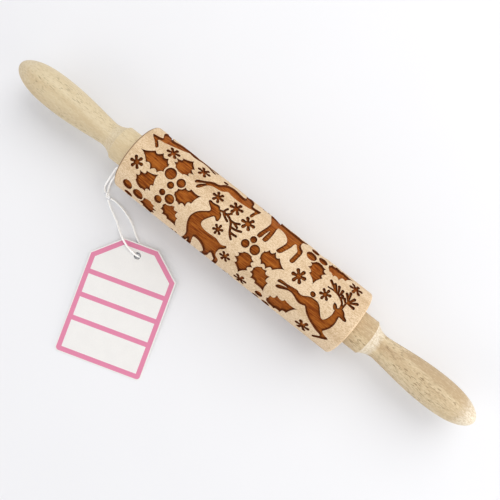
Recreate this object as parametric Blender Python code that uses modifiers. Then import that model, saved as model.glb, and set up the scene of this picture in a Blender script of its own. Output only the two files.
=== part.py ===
"""Embossed rolling pin: an engraved barrel that turns on a steel rod between two
turned wood handles, with a card tag on a loop of cord.

Metres, +Z up. The pin lies along X on the plane z = 0, and the origin is on that
plane under the middle of the barrel.
"""
import math

import bmesh
import bpy
from mathutils import Matrix, Vector

# Barrel
BARREL_LENGTH = 0.166
BARREL_DIAMETER = 0.045
BARREL_EDGE_RADIUS = 0.0015
BARREL_BORE_DIAMETER = 0.010

# Handles
HANDLE_END_GAP = 0.0006
COLLAR_DIAMETER = 0.0235
COLLAR_LENGTH = 0.0132
COVE_LENGTH = 0.0094
NECK_DIAMETER = 0.0158
GRIP_RISE_LENGTH = 0.0398
GRIP_DIAMETER = 0.0225
GRIP_TIP_LENGTH = 0.0315

# Rod, bushes, washers and threaded inserts
ROD_DIAMETER = 0.008
ROD_END_DIAMETER = 0.006
ROD_END_LENGTH = 0.012
FLANGE_DIAMETER = 0.018
FLANGE_THICKNESS = 0.0012
SLEEVE_DIAMETER = 0.012
SLEEVE_LENGTH = 0.014
WASHER_DIAMETER = 0.017
WASHER_THICKNESS = 0.001
INSERT_DIAMETER = 0.011
INSERT_LENGTH = 0.013

# Clearances
RUNNING_GAP = 0.0003
SEAT_GAP = 0.0003

# Engraving
ENGRAVING_DEPTH = 0.0012
CUTTER_OVERRUN = 0.001
LEAPING_DEER_LENGTH = 0.044
STANDING_DEER_LENGTH = 0.029
LEAF_LENGTH = 0.015
BERRY_DIAMETER = 0.006
STAR_DIAMETER = 0.0085

# Cord
CORD_DIAMETER = 0.0013
CORD_GAP = 0.0005
CORD_POINT_SPACING = 0.0032
RING_END_GAP = 0.0006
KNOT_LENGTH = 0.0044
KNOT_WIDTH = 0.0034
KNOT_HEIGHT = 0.0028
KNOT_FLOOR_GAP = 0.0001

# Tag
TAG_WIDTH = 0.060
TAG_REACH = 0.076
TAG_HEAD = 0.008
TAG_TOP_WIDTH = 0.024
TAG_CLIP_LENGTH = 0.016
TAG_THICKNESS = 0.0006
TAG_CORNER_RADIUS = 0.003
TAG_HOLE_DIAMETER = 0.005
TAG_HOLE_X = -0.0484
TAG_HOLE_Y = -0.0504
TAG_TURN = math.radians(18.1)

# Facet counts
BARREL_SIDES = 36
HANDLE_SIDES = 28
SMALL_SIDES = 24
EDGE_STEPS = 3
COVE_STEPS = 5
RISE_STEPS = 6
TIP_STEPS = 7
CORNER_STEPS = 4
HOLE_STEPS = 16
BERRY_STEPS = 8
CORD_BEVEL_RESOLUTION = 2
CURVE_STEPS = 12
KNOT_SIDES = 12
KNOT_RINGS = 8

# Curve shapes of the handle, and how meshes are welded and shaded
TIP_POWER = 2.5
RISE_POWER = 1.2
COVE_POWER = 2
WELD_DISTANCE = 0.000001
SHARP_ANGLE = math.radians(30)

PART_COLLECTION = "embossed_rolling_pin"
CUTTER_COLLECTION = "cutters"

# Worked out from the values above
BARREL_HALF = BARREL_LENGTH / 2
BARREL_RADIUS = BARREL_DIAMETER / 2
BARREL_STEP = math.tau / BARREL_SIDES
AXIS_HEIGHT = BARREL_RADIUS * math.cos(BARREL_STEP / 2)
FLANGE_FACE = HANDLE_END_GAP - SEAT_GAP - WASHER_THICKNESS - RUNNING_GAP

# Animal, leaf and star outlines, as shares of each motif's length
LEAPING_DEER_SHARES = [
    (-0.50, 0.06), (-0.46, 0.09), (-0.20, 0.09), (-0.10, 0.12), (-0.02, 0.155), (0.07, 0.14),
    (0.15, 0.08), (0.20, -0.01), (0.255, -0.03), (0.29, 0.03), (0.30, 0.13), (0.285, 0.21),
    (0.24, 0.27), (0.30, 0.26), (0.29, 0.34), (0.22, 0.38), (0.05, 0.50), (0.15, 0.45),
    (0.11, 0.52), (0.19, 0.44), (0.19, 0.53), (0.235, 0.42), (0.265, 0.46), (0.28, 0.40),
    (0.315, 0.35), (0.33, 0.27), (0.355, 0.27), (0.345, 0.37), (0.30, 0.46), (0.355, 0.41),
    (0.36, 0.53), (0.385, 0.41), (0.44, 0.50), (0.42, 0.41), (0.49, 0.45), (0.435, 0.395),
    (0.50, 0.385), (0.40, 0.35), (0.375, 0.265), (0.43, 0.22), (0.505, 0.185), (0.49, 0.155),
    (0.42, 0.155), (0.40, 0.12), (0.415, 0.03), (0.39, -0.07), (0.35, -0.155), (0.49, -0.20),
    (0.485, -0.23), (0.34, -0.355), (0.305, -0.34), (0.38, -0.225), (0.27, -0.185), (0.15, -0.14),
    (0.05, -0.06), (-0.015, 0.0), (-0.08, -0.02), (-0.28, 0.02), (-0.40, 0.005), (-0.45, -0.035),
    (-0.48, -0.01), (-0.42, 0.03), (-0.38, 0.045), (-0.48, 0.035),
]
STANDING_DEER_SHARES = [
    (-0.50, 0.02), (-0.47, 0.14), (-0.40, 0.24), (-0.33, 0.31), (-0.28, 0.37), (-0.30, 0.42),
    (-0.37, 0.50), (-0.28, 0.47), (-0.20, 0.49), (-0.14, 0.47), (-0.09, 0.52), (-0.045, 0.655),
    (-0.01, 0.65), (-0.02, 0.56), (0.055, 0.61), (0.08, 0.58), (0.03, 0.52), (0.13, 0.50),
    (0.22, 0.46), (0.36, 0.58), (0.385, 0.555), (0.27, 0.43), (0.49, 0.465), (0.50, 0.435),
    (0.32, 0.37), (0.465, 0.335), (0.46, 0.30), (0.355, 0.315), (0.42, 0.22), (0.385, 0.205),
    (0.29, 0.31), (0.20, 0.41), (0.10, 0.45), (-0.02, 0.46), (-0.10, 0.41), (-0.07, 0.31),
    (-0.10, 0.27), (-0.14, 0.32), (-0.20, 0.33), (-0.25, 0.26), (-0.29, 0.16), (-0.27, 0.07),
    (-0.18, 0.02), (0.22, 0.03), (0.33, 0.0), (0.42, 0.05), (0.47, 0.03), (0.38, -0.07),
    (0.36, -0.22), (0.42, -0.40), (0.40, -0.58), (0.46, -0.76), (0.38, -0.76), (0.33, -0.58),
    (0.33, -0.45), (0.25, -0.34), (0.24, -0.43), (0.12, -0.58), (0.10, -0.78), (0.02, -0.78),
    (0.04, -0.58), (0.12, -0.44), (0.08, -0.31), (-0.10, -0.28), (-0.24, -0.27), (-0.27, -0.40),
    (-0.28, -0.78), (-0.36, -0.78), (-0.36, -0.42), (-0.40, -0.78), (-0.48, -0.78),
    (-0.46, -0.38), (-0.47, -0.18),
]
LEAF_EDGE_SHARES = [
    (0.0, 0.0), (0.08, 0.16), (0.20, 0.20), (0.24, 0.33), (0.38, 0.24), (0.46, 0.36),
    (0.58, 0.23), (0.68, 0.29), (0.76, 0.14), (1.0, 0.0),
]
STAR_POINTS = 6
STAR_HOLLOW_SHARE = 0.38

# Places: along the barrel as a share of its half length, degrees round it from the top,
# then size and width as shares of the motif's own, the turn in degrees, and mirrored or not
FRONT_LEAPING_SHARES = [(0.65, -23, 1.0, 0, False)]
FRONT_STANDING_SHARES = [(-0.20, -29, 1.0, 0, False)]
FRONT_LEAF_SHARES = [
    (-0.71, 10, 1.23, 180, 0.72), (-0.63, 19, 0.87, 82, 1.15), (-0.81, -37, 0.97, 60, 0.95),
    (-0.54, -15, 1.03, 37, 0.80), (-0.56, -34, 1.0, -42, 0.85), (0.19, -3, 1.03, 4, 0.78),
    (0.11, -15, 0.97, -84, 0.90), (0.22, -22, 1.07, -45, 0.80), (0.42, -64, 1.30, 34, 0.75),
]
FRONT_BERRY_SHARES = [
    (-0.66, 8, 1.20), (-0.56, 6, 0.93), (-0.61, -6, 0.73), (-0.63, -22, 0.67), (-0.63, -36, 0.87),
    (-0.56, -24, 1.03), (-0.88, -51, 1.13), (-0.78, -55, 1.23), (0.08, 7, 0.70), (0.05, -5, 0.86),
    (0.13, -4, 1.04), (0.34, -64, 0.90), (0.42, -78, 1.0), (0.33, -80, 0.83),
]
FRONT_STAR_SHARES = [
    (-0.90, -10, 1.0, 10), (-0.75, 38, 1.05, 20), (-0.50, 47, 1.07, 5), (-0.30, 25, 0.93, 0),
    (-0.15, 29, 1.07, 15), (-0.02, 21, 1.10, 8), (-0.16, -14, 0.82, 25), (-0.01, -43, 0.90, 10),
    (0.17, -64, 1.12, 15), (0.48, 6, 1.12, 12), (0.70, 9, 0.90, 20), (0.72, -57, 1.20, 10),
]
UPPER_LEAPING_SHARES = [(-0.27, 46, 0.95, 32, False), (-0.69, 66, 1.0, 0, True)]
UPPER_STANDING_SHARES = [(0.24, 73, 1.0, 0, False)]
UPPER_LEAF_SHARES = [
    (-0.70, -51, 0.93, -75, 1.0), (0.54, 45, 0.97, -74, 0.85), (0.62, 52, 1.17, 20, 0.75),
    (0.52, 73, 0.93, 78, 0.85), (-0.36, -109, 1.0, 30, 0.80), (0.75, 127, 1.0, -20, 0.80),
]
UPPER_BERRY_SHARES = [
    (-0.86, -73, 1.0), (0.47, 48, 1.17), (0.56, 56, 1.03), (0.48, 66, 0.93), (-0.27, -122, 0.92),
    (0.67, 120, 0.92),
]
UPPER_STAR_SHARES = [
    (0.86, 51, 1.12, 15), (0.73, 92, 1.12, 5), (0.90, 100, 1.05, 20), (0.01, 84, 1.07, 12),
    (-0.42, 88, 1.0, 0), (0.03, 117, 0.95, 0), (-0.53, 112, 1.05, 25), (-0.07, 130, 1.0, 10),
    (0.53, 129, 1.0, 10), (-0.10, -107, 1.0, 0), (0.87, -97, 1.05, 15), (-0.43, -87, 1.0, 5),
    (-0.57, -108, 1.0, 10), (0.07, -89, 1.05, 20), (0.63, 153, 1.0, 0),
]
BACK_TURN_DEGREES = 214

# The loop round the left collar: from the knot up to the collar, and down again
STRING_UP_ROUTE = [
    (-0.0903, -0.0297, 0.0013), (-0.0915, -0.0281, 0.0009), (-0.0923, -0.0260, 0.0011),
    (-0.0925, -0.0235, 0.0026), (-0.0921, -0.0203, 0.0050), (-0.0913, -0.0163, 0.0075),
    (-0.0900, -0.0112, 0.0091), (-0.0881, -0.0056, 0.0096), (-0.0859, 0.0000, 0.0096),
]
STRING_DOWN_ROUTE = [
    (-0.0852, -0.0128, 0.0248), (-0.0867, -0.0132, 0.0217), (-0.0885, -0.0131, 0.0189),
    (-0.0901, -0.0129, 0.0166), (-0.0914, -0.0135, 0.0144), (-0.0923, -0.0151, 0.0122),
    (-0.0930, -0.0173, 0.0096), (-0.0937, -0.0199, 0.0069), (-0.0943, -0.0226, 0.0043),
    (-0.0947, -0.0252, 0.0021), (-0.0946, -0.0274, 0.0010), (-0.0937, -0.0293, 0.0008),
    (-0.0925, -0.0305, 0.0010), (-0.0914, -0.0310, 0.0013),
]
RING_STEPS = 20
RING_START = math.radians(20)
RING_END = math.radians(245)

# The loop through the tag: from the knot over the card, through the hole and back under it
TAG_CORD_ROUTE = [
    (-0.0871, -0.0338, 0.0013), (-0.0853, -0.0352, 0.0009), (-0.0828, -0.0367, 0.0008),
    (-0.0793, -0.0386, 0.0008), (-0.0750, -0.0408, 0.0009), (-0.0710, -0.0431, 0.0014),
    (-0.0674, -0.0451, 0.0030), (-0.0636, -0.0471, 0.0039), (-0.0595, -0.0488, 0.0040),
    (-0.0552, -0.0500, 0.0039), (-0.0512, -0.0505, 0.0038), (-0.0494, -0.0505, 0.0031),
    (-0.0480, -0.0504, 0.0019), (-0.0464, -0.0502, 0.0009), (-0.0438, -0.0493, 0.0008),
    (-0.0424, -0.0471, 0.0008), (-0.0434, -0.0449, 0.0008), (-0.0460, -0.0440, 0.0008),
    (-0.0497, -0.0439, 0.0008), (-0.0539, -0.0429, 0.0008), (-0.0589, -0.0402, 0.0008),
    (-0.0636, -0.0371, 0.0008), (-0.0680, -0.0350, 0.0008), (-0.0730, -0.0333, 0.0008),
    (-0.0785, -0.0321, 0.0008), (-0.0832, -0.0317, 0.0009), (-0.0861, -0.0322, 0.0013),
]
KNOT_X = -0.0888
KNOT_Y = -0.0318
KNOT_TURN = math.radians(-30)


def clear_scene():
    for item in list(bpy.data.objects):
        bpy.data.objects.remove(item, do_unlink=True)


def new_collection(name):
    collection = bpy.data.collections.new(name)
    bpy.context.scene.collection.children.link(collection)
    return collection


def material(name, colour, roughness, metallic=0.0):
    made = bpy.data.materials.new(name)
    made.use_nodes = True
    shader = made.node_tree.nodes["Principled BSDF"]
    shader.inputs["Base Color"].default_value = (*colour, 1.0)
    shader.inputs["Roughness"].default_value = roughness
    shader.inputs["Metallic"].default_value = metallic
    return made


def link_object(name, data, collection):
    made = bpy.data.objects.new(name, data)
    collection.objects.link(made)
    return made


def as_mesh(source, collection):
    """The evaluated shape as one welded mesh object, in the source's place."""
    bpy.context.view_layer.update()
    graph = bpy.context.evaluated_depsgraph_get()
    mesh = bpy.data.meshes.new_from_object(source.evaluated_get(graph))
    welded = bmesh.new()
    welded.from_mesh(mesh)
    bmesh.ops.remove_doubles(welded, verts=welded.verts, dist=WELD_DISTANCE)
    bmesh.ops.recalc_face_normals(welded, faces=welded.faces)
    welded.to_mesh(mesh)
    welded.free()
    name = source.name
    place = source.matrix_world.copy()
    bpy.data.objects.remove(source, do_unlink=True)
    made = link_object(name, mesh, collection)
    made.matrix_world = place
    return made


def over_flats(radius, sides=SMALL_SIDES):
    """The corner radius of a faceted hole whose flats lie at this radius."""
    return radius / math.cos(math.pi / sides)


def turned(name, profile, sides, collection, finish, closed=False):
    """A profile of (radius, height) points, top to bottom, turned about local Z."""
    mesh = bpy.data.meshes.new(name)
    edges = [(index, index + 1) for index in range(len(profile) - 1)]
    if closed:
        edges.append((len(profile) - 1, 0))
    mesh.from_pydata([(radius, 0, height) for radius, height in profile], edges, [])
    outline = link_object(name, mesh, collection)
    screw = outline.modifiers.new("turn", "SCREW")
    screw.axis = "Z"
    screw.steps = sides
    screw.render_steps = sides
    screw.use_merge_vertices = True
    screw.merge_threshold = WELD_DISTANCE
    made = as_mesh(outline, collection)
    made.data.shade_smooth()
    made.data.set_sharp_from_angle(angle=SHARP_ANGLE)
    made.data.materials.append(finish)
    return made


def lay_along_x(piece, x, roll=0.0, reverse=False):
    """Lays a turned piece on the pin's axis, its +Z towards +X, or -X where reversed."""
    side = -1 if reverse else 1
    turn = Matrix.Rotation(roll, 3, "X") @ Matrix.Rotation(side * math.pi / 2, 3, "Y")
    piece.rotation_euler = turn.to_euler()
    piece.location = (x, 0, AXIS_HEIGHT)


def flat_curve(name, outlines, half_thickness, collection):
    """A flat shape of closed outlines, an inner one being a hole, centred on z = 0."""
    data = bpy.data.curves.new(name, "CURVE")
    data.dimensions = "2D"
    data.fill_mode = "BOTH"
    data.extrude = half_thickness
    for outline in outlines:
        spline = data.splines.new("POLY")
        spline.points.add(len(outline) - 1)
        for point, (x, y) in zip(spline.points, outline):
            point.co = (x, y, 0, 1)
        spline.use_cyclic_u = True
    return link_object(name, data, collection)


def arc_points(centre, radius, start, end, steps):
    """Points on an arc about a centre, from one angle to another."""
    points = []
    for step in range(steps + 1):
        angle = start + (end - start) * step / steps
        points.append((centre[0] + radius * math.cos(angle), centre[1] + radius * math.sin(angle)))
    return points


def barrel_profile():
    """Bore, bush seats, end faces and rounded edges, both ends alike."""
    bore = over_flats(BARREL_BORE_DIAMETER / 2, BARREL_SIDES)
    sleeve_seat = over_flats(SLEEVE_DIAMETER / 2 + SEAT_GAP, BARREL_SIDES)
    flange_seat = over_flats(FLANGE_DIAMETER / 2 + SEAT_GAP, BARREL_SIDES)
    flange_depth = FLANGE_THICKNESS + SEAT_GAP - FLANGE_FACE
    sleeve_depth = flange_depth + SLEEVE_LENGTH
    edge = arc_points((BARREL_RADIUS - BARREL_EDGE_RADIUS, BARREL_HALF - BARREL_EDGE_RADIUS),
                      BARREL_EDGE_RADIUS, math.pi / 2, 0, EDGE_STEPS)
    upper = [
        (bore, BARREL_HALF - sleeve_depth),
        (sleeve_seat, BARREL_HALF - sleeve_depth),
        (sleeve_seat, BARREL_HALF - flange_depth),
        (flange_seat, BARREL_HALF - flange_depth),
        (flange_seat, BARREL_HALF),
        *edge,
    ]
    return upper + [(radius, -height) for radius, height in reversed(upper)]


def turned_outline(outline_shares, size, turn=0, mirrored=False, width_share=1):
    """A motif's outline in its own plane, as (x, arc) points about its origin."""
    cosine = math.cos(math.radians(turn)) * size
    sine = math.sin(math.radians(turn)) * size
    side = -1 if mirrored else 1
    points = []
    for along, across in outline_shares:
        across *= width_share
        points.append((side * (along * cosine - across * sine), along * sine + across * cosine))
    return points


def everywhere(front, upper):
    """Each place's x, angle and own values, and whether it is a mirrored copy at the back."""
    places = []
    for along, degrees, *values in front + upper:
        places.append((BARREL_HALF * along, math.radians(degrees), values, False))
    for along, degrees, *values in front:
        places.append((-BARREL_HALF * along, math.radians(degrees + BACK_TURN_DEGREES), values, True))
    return places


def leaf_outlines():
    """Each leaf about its own middle, so that its flat pocket stays in the round barrel."""
    lower_edge = [(along, -across) for along, across in reversed(LEAF_EDGE_SHARES[1:-1])]
    outlines = []
    for x, angle, values, flipped in everywhere(FRONT_LEAF_SHARES, UPPER_LEAF_SHARES):
        size_share, turn, width_share = values
        size = LEAF_LENGTH * size_share
        outline = turned_outline(LEAF_EDGE_SHARES + lower_edge, size, turn, flipped, width_share)
        middle = size * math.sin(math.radians(turn)) / 2
        outline = [(along, across - middle) for along, across in outline]
        outlines.append((x, angle + middle / BARREL_RADIUS, outline))
    return outlines


def berry_outlines():
    outlines = []
    for x, angle, (size_share,), _ in everywhere(FRONT_BERRY_SHARES, UPPER_BERRY_SHARES):
        circle = arc_points((0, 0), BERRY_DIAMETER / 2 * size_share, 0, math.tau, BERRY_STEPS)
        outlines.append((x, angle, circle[:-1]))
    return outlines


def star_outlines():
    star_shares = []
    for index in range(STAR_POINTS):
        tip = math.tau * index / STAR_POINTS
        hollow = tip + math.pi / STAR_POINTS
        star_shares.append((math.cos(tip), math.sin(tip)))
        star_shares.append((STAR_HOLLOW_SHARE * math.cos(hollow), STAR_HOLLOW_SHARE * math.sin(hollow)))
    outlines = []
    for x, angle, (size_share, turn), flipped in everywhere(FRONT_STAR_SHARES, UPPER_STAR_SHARES):
        outline = turned_outline(star_shares, STAR_DIAMETER / 2 * size_share, turn, flipped)
        outlines.append((x, angle, outline))
    return outlines


def cutter_plate(outline, collection):
    """An outline as a plate that reaches from the engraving's floor to over the surface."""
    half_thickness = (ENGRAVING_DEPTH + CUTTER_OVERRUN) / 2
    plate = as_mesh(flat_curve("plate", [outline], half_thickness, collection), collection)
    plate.data.transform(Matrix.Translation((0, 0, (CUTTER_OVERRUN - ENGRAVING_DEPTH) / 2)))
    return plate


def add_plate(shapes, plate):
    shapes.from_mesh(plate.data)
    bpy.data.objects.remove(plate, do_unlink=True)


def add_pocket(shapes, x, angle, outline, collection):
    """A small motif's plate, flat where it touches the barrel at this angle from the top."""
    plate = cutter_plate(outline, collection)
    plate.data.transform(Matrix.Translation((0, 0, BARREL_RADIUS)))
    plate.data.transform(Matrix.Rotation(-angle, 4, "X"))
    plate.data.transform(Matrix.Translation((x, 0, AXIS_HEIGHT)))
    add_plate(shapes, plate)


def on_barrel(point):
    """A point (x, arc, height over the surface) wrapped round the barrel's axis."""
    place = point.y / (BARREL_RADIUS * BARREL_STEP)
    radius = BARREL_RADIUS + point.z
    corners = []
    for corner in (math.floor(place), math.floor(place) + 1):
        angle = corner * BARREL_STEP
        corners.append(Vector((point.x, radius * math.sin(angle), AXIS_HEIGHT + radius * math.cos(angle))))
    return corners[0].lerp(corners[1], place - math.floor(place))


def add_wrapped(shapes, x, angle, outline, collection):
    """A large motif's plate wrapped round the barrel, bent at the middle of each flat."""
    arc = BARREL_RADIUS * angle
    plate = cutter_plate([(x + along, arc + across) for along, across in outline], collection)
    wrapped = bmesh.new()
    wrapped.from_mesh(plate.data)
    flat_arc = BARREL_RADIUS * BARREL_STEP
    arcs = [vert.co.y for vert in wrapped.verts]
    for index in range(math.ceil(min(arcs) / flat_arc), math.floor(max(arcs) / flat_arc) + 1):
        geometry = wrapped.verts[:] + wrapped.edges[:] + wrapped.faces[:]
        bend = Vector((0, flat_arc * index, 0))
        bmesh.ops.bisect_plane(wrapped, geom=geometry, dist=WELD_DISTANCE, plane_co=bend, plane_no=(0, 1, 0))
    for vert in wrapped.verts:
        vert.co = on_barrel(vert.co)
    wrapped.to_mesh(plate.data)
    wrapped.free()
    add_plate(shapes, plate)


def engraving_cutter(collection):
    """All the motifs as separate solids in one cutter."""
    shapes = bmesh.new()
    deer = (
        (LEAPING_DEER_SHARES, LEAPING_DEER_LENGTH, FRONT_LEAPING_SHARES, UPPER_LEAPING_SHARES),
        (STANDING_DEER_SHARES, STANDING_DEER_LENGTH, FRONT_STANDING_SHARES, UPPER_STANDING_SHARES),
    )
    for shape_shares, length, front, upper in deer:
        for x, angle, (size_share, turn, mirrored), flipped in everywhere(front, upper):
            outline = turned_outline(shape_shares, length * size_share, turn, mirrored != flipped)
            add_wrapped(shapes, x, angle, outline, collection)
    for x, angle, outline in leaf_outlines() + berry_outlines() + star_outlines():
        add_pocket(shapes, x, angle, outline, collection)
    mesh = bpy.data.meshes.new("engraving_cutter")
    shapes.to_mesh(mesh)
    shapes.free()
    cutter = link_object("engraving_cutter", mesh, collection)
    cutter.hide_render = True
    cutter.display_type = "WIRE"
    return cutter


def make_barrel(collection, cutters, finish):
    barrel = turned("barrel", barrel_profile(), BARREL_SIDES, collection, finish, closed=True)
    lay_along_x(barrel, 0, roll=BARREL_STEP / 2)
    engraving = barrel.modifiers.new("engraving", "BOOLEAN")
    engraving.operation = "DIFFERENCE"
    engraving.solver = "EXACT"
    engraving.use_self = True
    engraving.object = engraving_cutter(cutters)


def handle_profile():
    """From the tip down the grip, neck, cove and collar, then into the insert's hole."""
    neck = NECK_DIAMETER / 2
    belly = GRIP_DIAMETER / 2
    collar = COLLAR_DIAMETER / 2
    hole = over_flats(INSERT_DIAMETER / 2 + SEAT_GAP, HANDLE_SIDES)
    collar_top = HANDLE_END_GAP + COLLAR_LENGTH
    cove_top = collar_top + COVE_LENGTH
    rise_top = cove_top + GRIP_RISE_LENGTH
    hole_floor = HANDLE_END_GAP + INSERT_LENGTH + SEAT_GAP
    profile = []
    for step in range(TIP_STEPS):
        share = math.cos(math.pi / 2 * step / TIP_STEPS)
        profile.append((belly * math.sqrt(1 - share ** TIP_POWER), rise_top + GRIP_TIP_LENGTH * share))
    for step in range(RISE_STEPS, 0, -1):
        share = step / RISE_STEPS
        swell = math.sin(math.pi / 2 * share) ** RISE_POWER
        profile.append((neck + (belly - neck) * swell, cove_top + GRIP_RISE_LENGTH * share))
    for step in range(COVE_STEPS, -1, -1):
        share = step / COVE_STEPS
        profile.append((neck + (collar - neck) * (1 - share) ** COVE_POWER, collar_top + COVE_LENGTH * share))
    return profile + [
        (collar, HANDLE_END_GAP),
        (hole, HANDLE_END_GAP),
        (hole, hole_floor),
        (0, hole_floor),
    ]


def ring_profile(inner, outer, top, height):
    """A plain ring's closed section."""
    return [(inner, top), (outer, top), (outer, top - height), (inner, top - height)]


def bush_profile():
    bore = over_flats(ROD_DIAMETER / 2 + RUNNING_GAP)
    flange = FLANGE_DIAMETER / 2
    sleeve = SLEEVE_DIAMETER / 2
    shoulder = FLANGE_FACE - FLANGE_THICKNESS
    return [
        (bore, FLANGE_FACE),
        (flange, FLANGE_FACE),
        (flange, shoulder),
        (sleeve, shoulder),
        (sleeve, shoulder - SLEEVE_LENGTH),
        (bore, shoulder - SLEEVE_LENGTH),
    ]


def rod_profile():
    """A shouldered rod, its thinner ends inside the handles' inserts."""
    body = ROD_DIAMETER / 2
    end = ROD_END_DIAMETER / 2
    shoulder = BARREL_HALF + HANDLE_END_GAP - SEAT_GAP
    tip = shoulder + ROD_END_LENGTH
    upper = [(0, tip), (end, tip), (end, shoulder), (body, shoulder)]
    return upper + [(radius, -height) for radius, height in reversed(upper)]


def make_end(side, reverse, collection, wood, nylon, steel, brass):
    """The handle, threaded insert, washer and bush of one end."""
    x = -BARREL_HALF if reverse else BARREL_HALF
    washer_bore = over_flats(ROD_DIAMETER / 2 + RUNNING_GAP)
    insert_bore = over_flats(ROD_END_DIAMETER / 2 + SEAT_GAP)
    washer = ring_profile(washer_bore, WASHER_DIAMETER / 2, HANDLE_END_GAP - SEAT_GAP, WASHER_THICKNESS)
    insert = ring_profile(insert_bore, INSERT_DIAMETER / 2, HANDLE_END_GAP + INSERT_LENGTH, INSERT_LENGTH)
    pieces = [
        turned("handle_" + side, handle_profile(), HANDLE_SIDES, collection, wood),
        turned("insert_" + side, insert, SMALL_SIDES, collection, brass, closed=True),
        turned("washer_" + side, washer, SMALL_SIDES, collection, steel, closed=True),
        turned("bush_" + side, bush_profile(), SMALL_SIDES, collection, nylon, closed=True),
    ]
    for piece in pieces:
        lay_along_x(piece, x, reverse=reverse)


def smooth_route(route):
    """Evenly spaced points on a smooth curve through a route's points."""
    points = [Vector(point) for point in route]
    ends = [points[0]] + points + [points[-1]]
    curve = []
    for index in range(len(points) - 1):
        before, start, end, after = ends[index:index + 4]
        for step in range(CURVE_STEPS):
            t = step / CURVE_STEPS
            bend = (end - before) * t + (2 * before - 5 * start + 4 * end - after) * t ** 2
            curve.append(start + (bend + (3 * start - before - 3 * end + after) * t ** 3) / 2)
    curve.append(points[-1])
    reached = [0.0]
    for first, second in zip(curve, curve[1:]):
        reached.append(reached[-1] + (second - first).length)
    count = round(reached[-1] / CORD_POINT_SPACING)
    spaced = []
    index = 0
    for step in range(count + 1):
        wanted = reached[-1] * step / count
        while index < len(curve) - 2 and reached[index + 1] < wanted:
            index += 1
        share = (wanted - reached[index]) / (reached[index + 1] - reached[index])
        spaced.append(curve[index].lerp(curve[index + 1], share))
    return spaced


def cord(name, route, collection, finish):
    data = bpy.data.curves.new(name, "CURVE")
    data.dimensions = "3D"
    data.bevel_depth = CORD_DIAMETER / 2
    data.bevel_resolution = CORD_BEVEL_RESOLUTION
    data.use_fill_caps = True
    points = smooth_route(route)
    spline = data.splines.new("POLY")
    spline.points.add(len(points) - 1)
    for point, place in zip(spline.points, points):
        point.co = (*place, 1)
    data.materials.append(finish)
    return link_object(name, data, collection)


def collar_ring():
    """The cord's turn round the left collar, from under it over the top and down."""
    radius = COLLAR_DIAMETER / 2 + CORD_DIAMETER / 2 + CORD_GAP
    x = -BARREL_HALF - RING_END_GAP - CORD_DIAMETER / 2
    points = []
    for step in range(RING_STEPS + 1):
        angle = RING_START + (RING_END - RING_START) * step / RING_STEPS
        points.append((x, radius * math.sin(angle), AXIS_HEIGHT - radius * math.cos(angle)))
    return points


def make_knot(collection, finish):
    mesh = bpy.data.meshes.new("string_knot")
    shape = bmesh.new()
    bmesh.ops.create_uvsphere(shape, u_segments=KNOT_SIDES, v_segments=KNOT_RINGS, radius=0.5)
    bmesh.ops.scale(shape, vec=(KNOT_LENGTH, KNOT_WIDTH, KNOT_HEIGHT), verts=shape.verts)
    shape.to_mesh(mesh)
    shape.free()
    mesh.shade_smooth()
    mesh.materials.append(finish)
    knot = link_object("string_knot", mesh, collection)
    knot.rotation_euler = (0, 0, KNOT_TURN)
    knot.location = (KNOT_X, KNOT_Y, KNOT_FLOOR_GAP + KNOT_HEIGHT / 2)


def make_tag(collection, finish):
    """A clipped card whose hole end is lifted by the strand of cord under it."""
    half = TAG_WIDTH / 2
    inner = half - TAG_CORNER_RADIUS
    foot = TAG_CORNER_RADIUS - TAG_REACH
    outline = [
        (-TAG_TOP_WIDTH / 2, TAG_HEAD),
        (-half, TAG_HEAD - TAG_CLIP_LENGTH),
        *arc_points((-inner, foot), TAG_CORNER_RADIUS, math.pi, math.pi * 3 / 2, CORNER_STEPS),
        *arc_points((inner, foot), TAG_CORNER_RADIUS, -math.pi / 2, 0, CORNER_STEPS),
        (half, TAG_HEAD - TAG_CLIP_LENGTH),
        (TAG_TOP_WIDTH / 2, TAG_HEAD),
    ]
    hole = arc_points((0, 0), TAG_HOLE_DIAMETER / 2, 0, math.tau, HOLE_STEPS)[:-1]
    tag = as_mesh(flat_curve("hang_tag", [outline, hole], TAG_THICKNESS / 2, collection), collection)
    tag.data.materials.append(finish)
    lift = CORD_DIAMETER + SEAT_GAP + SEAT_GAP
    tilt = math.asin(lift / TAG_REACH)
    tag.rotation_euler = (tilt, 0, TAG_TURN)
    tag.location = (TAG_HOLE_X, TAG_HOLE_Y, lift + TAG_THICKNESS / 2 * math.cos(tilt))


def build():
    clear_scene()
    parts = new_collection(PART_COLLECTION)
    cutters = new_collection(CUTTER_COLLECTION)
    barrel_wood = material("barrel_wood", (0.74, 0.58, 0.38), 0.6)
    handle_wood = material("handle_wood", (0.70, 0.56, 0.36), 0.5)
    steel = material("steel", (0.55, 0.55, 0.56), 0.3, 1.0)
    nylon = material("nylon", (0.85, 0.84, 0.80), 0.4)
    brass = material("brass", (0.75, 0.58, 0.28), 0.3, 1.0)
    white_cord = material("white_cord", (0.86, 0.85, 0.84), 0.5)
    card = material("card", (0.84, 0.81, 0.80), 0.7)
    make_barrel(parts, cutters, barrel_wood)
    rod = turned("axle_rod", rod_profile(), SMALL_SIDES, parts, steel)
    lay_along_x(rod, 0)
    for side, reverse in (("left", True), ("right", False)):
        make_end(side, reverse, parts, handle_wood, nylon, steel, brass)
    cord("handle_string", STRING_UP_ROUTE + collar_ring() + STRING_DOWN_ROUTE, parts, white_cord)
    cord("tag_string", TAG_CORD_ROUTE, parts, white_cord)
    make_knot(parts, white_cord)
    make_tag(parts, card)


build()
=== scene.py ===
"""Looks for the embossed rolling pin: the engraved barrel with its seasonal motifs, the
turned handles, the cord, its knot and the card tag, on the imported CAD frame.

Metres, +Z up, in the frame's own place: the pin lies along X on the plane z = 0.
"""

import math

import bmesh
import bpy
import numpy as np
from mathutils import Matrix, Vector, kdtree
from mathutils.geometry import delaunay_2d_cdt


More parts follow.
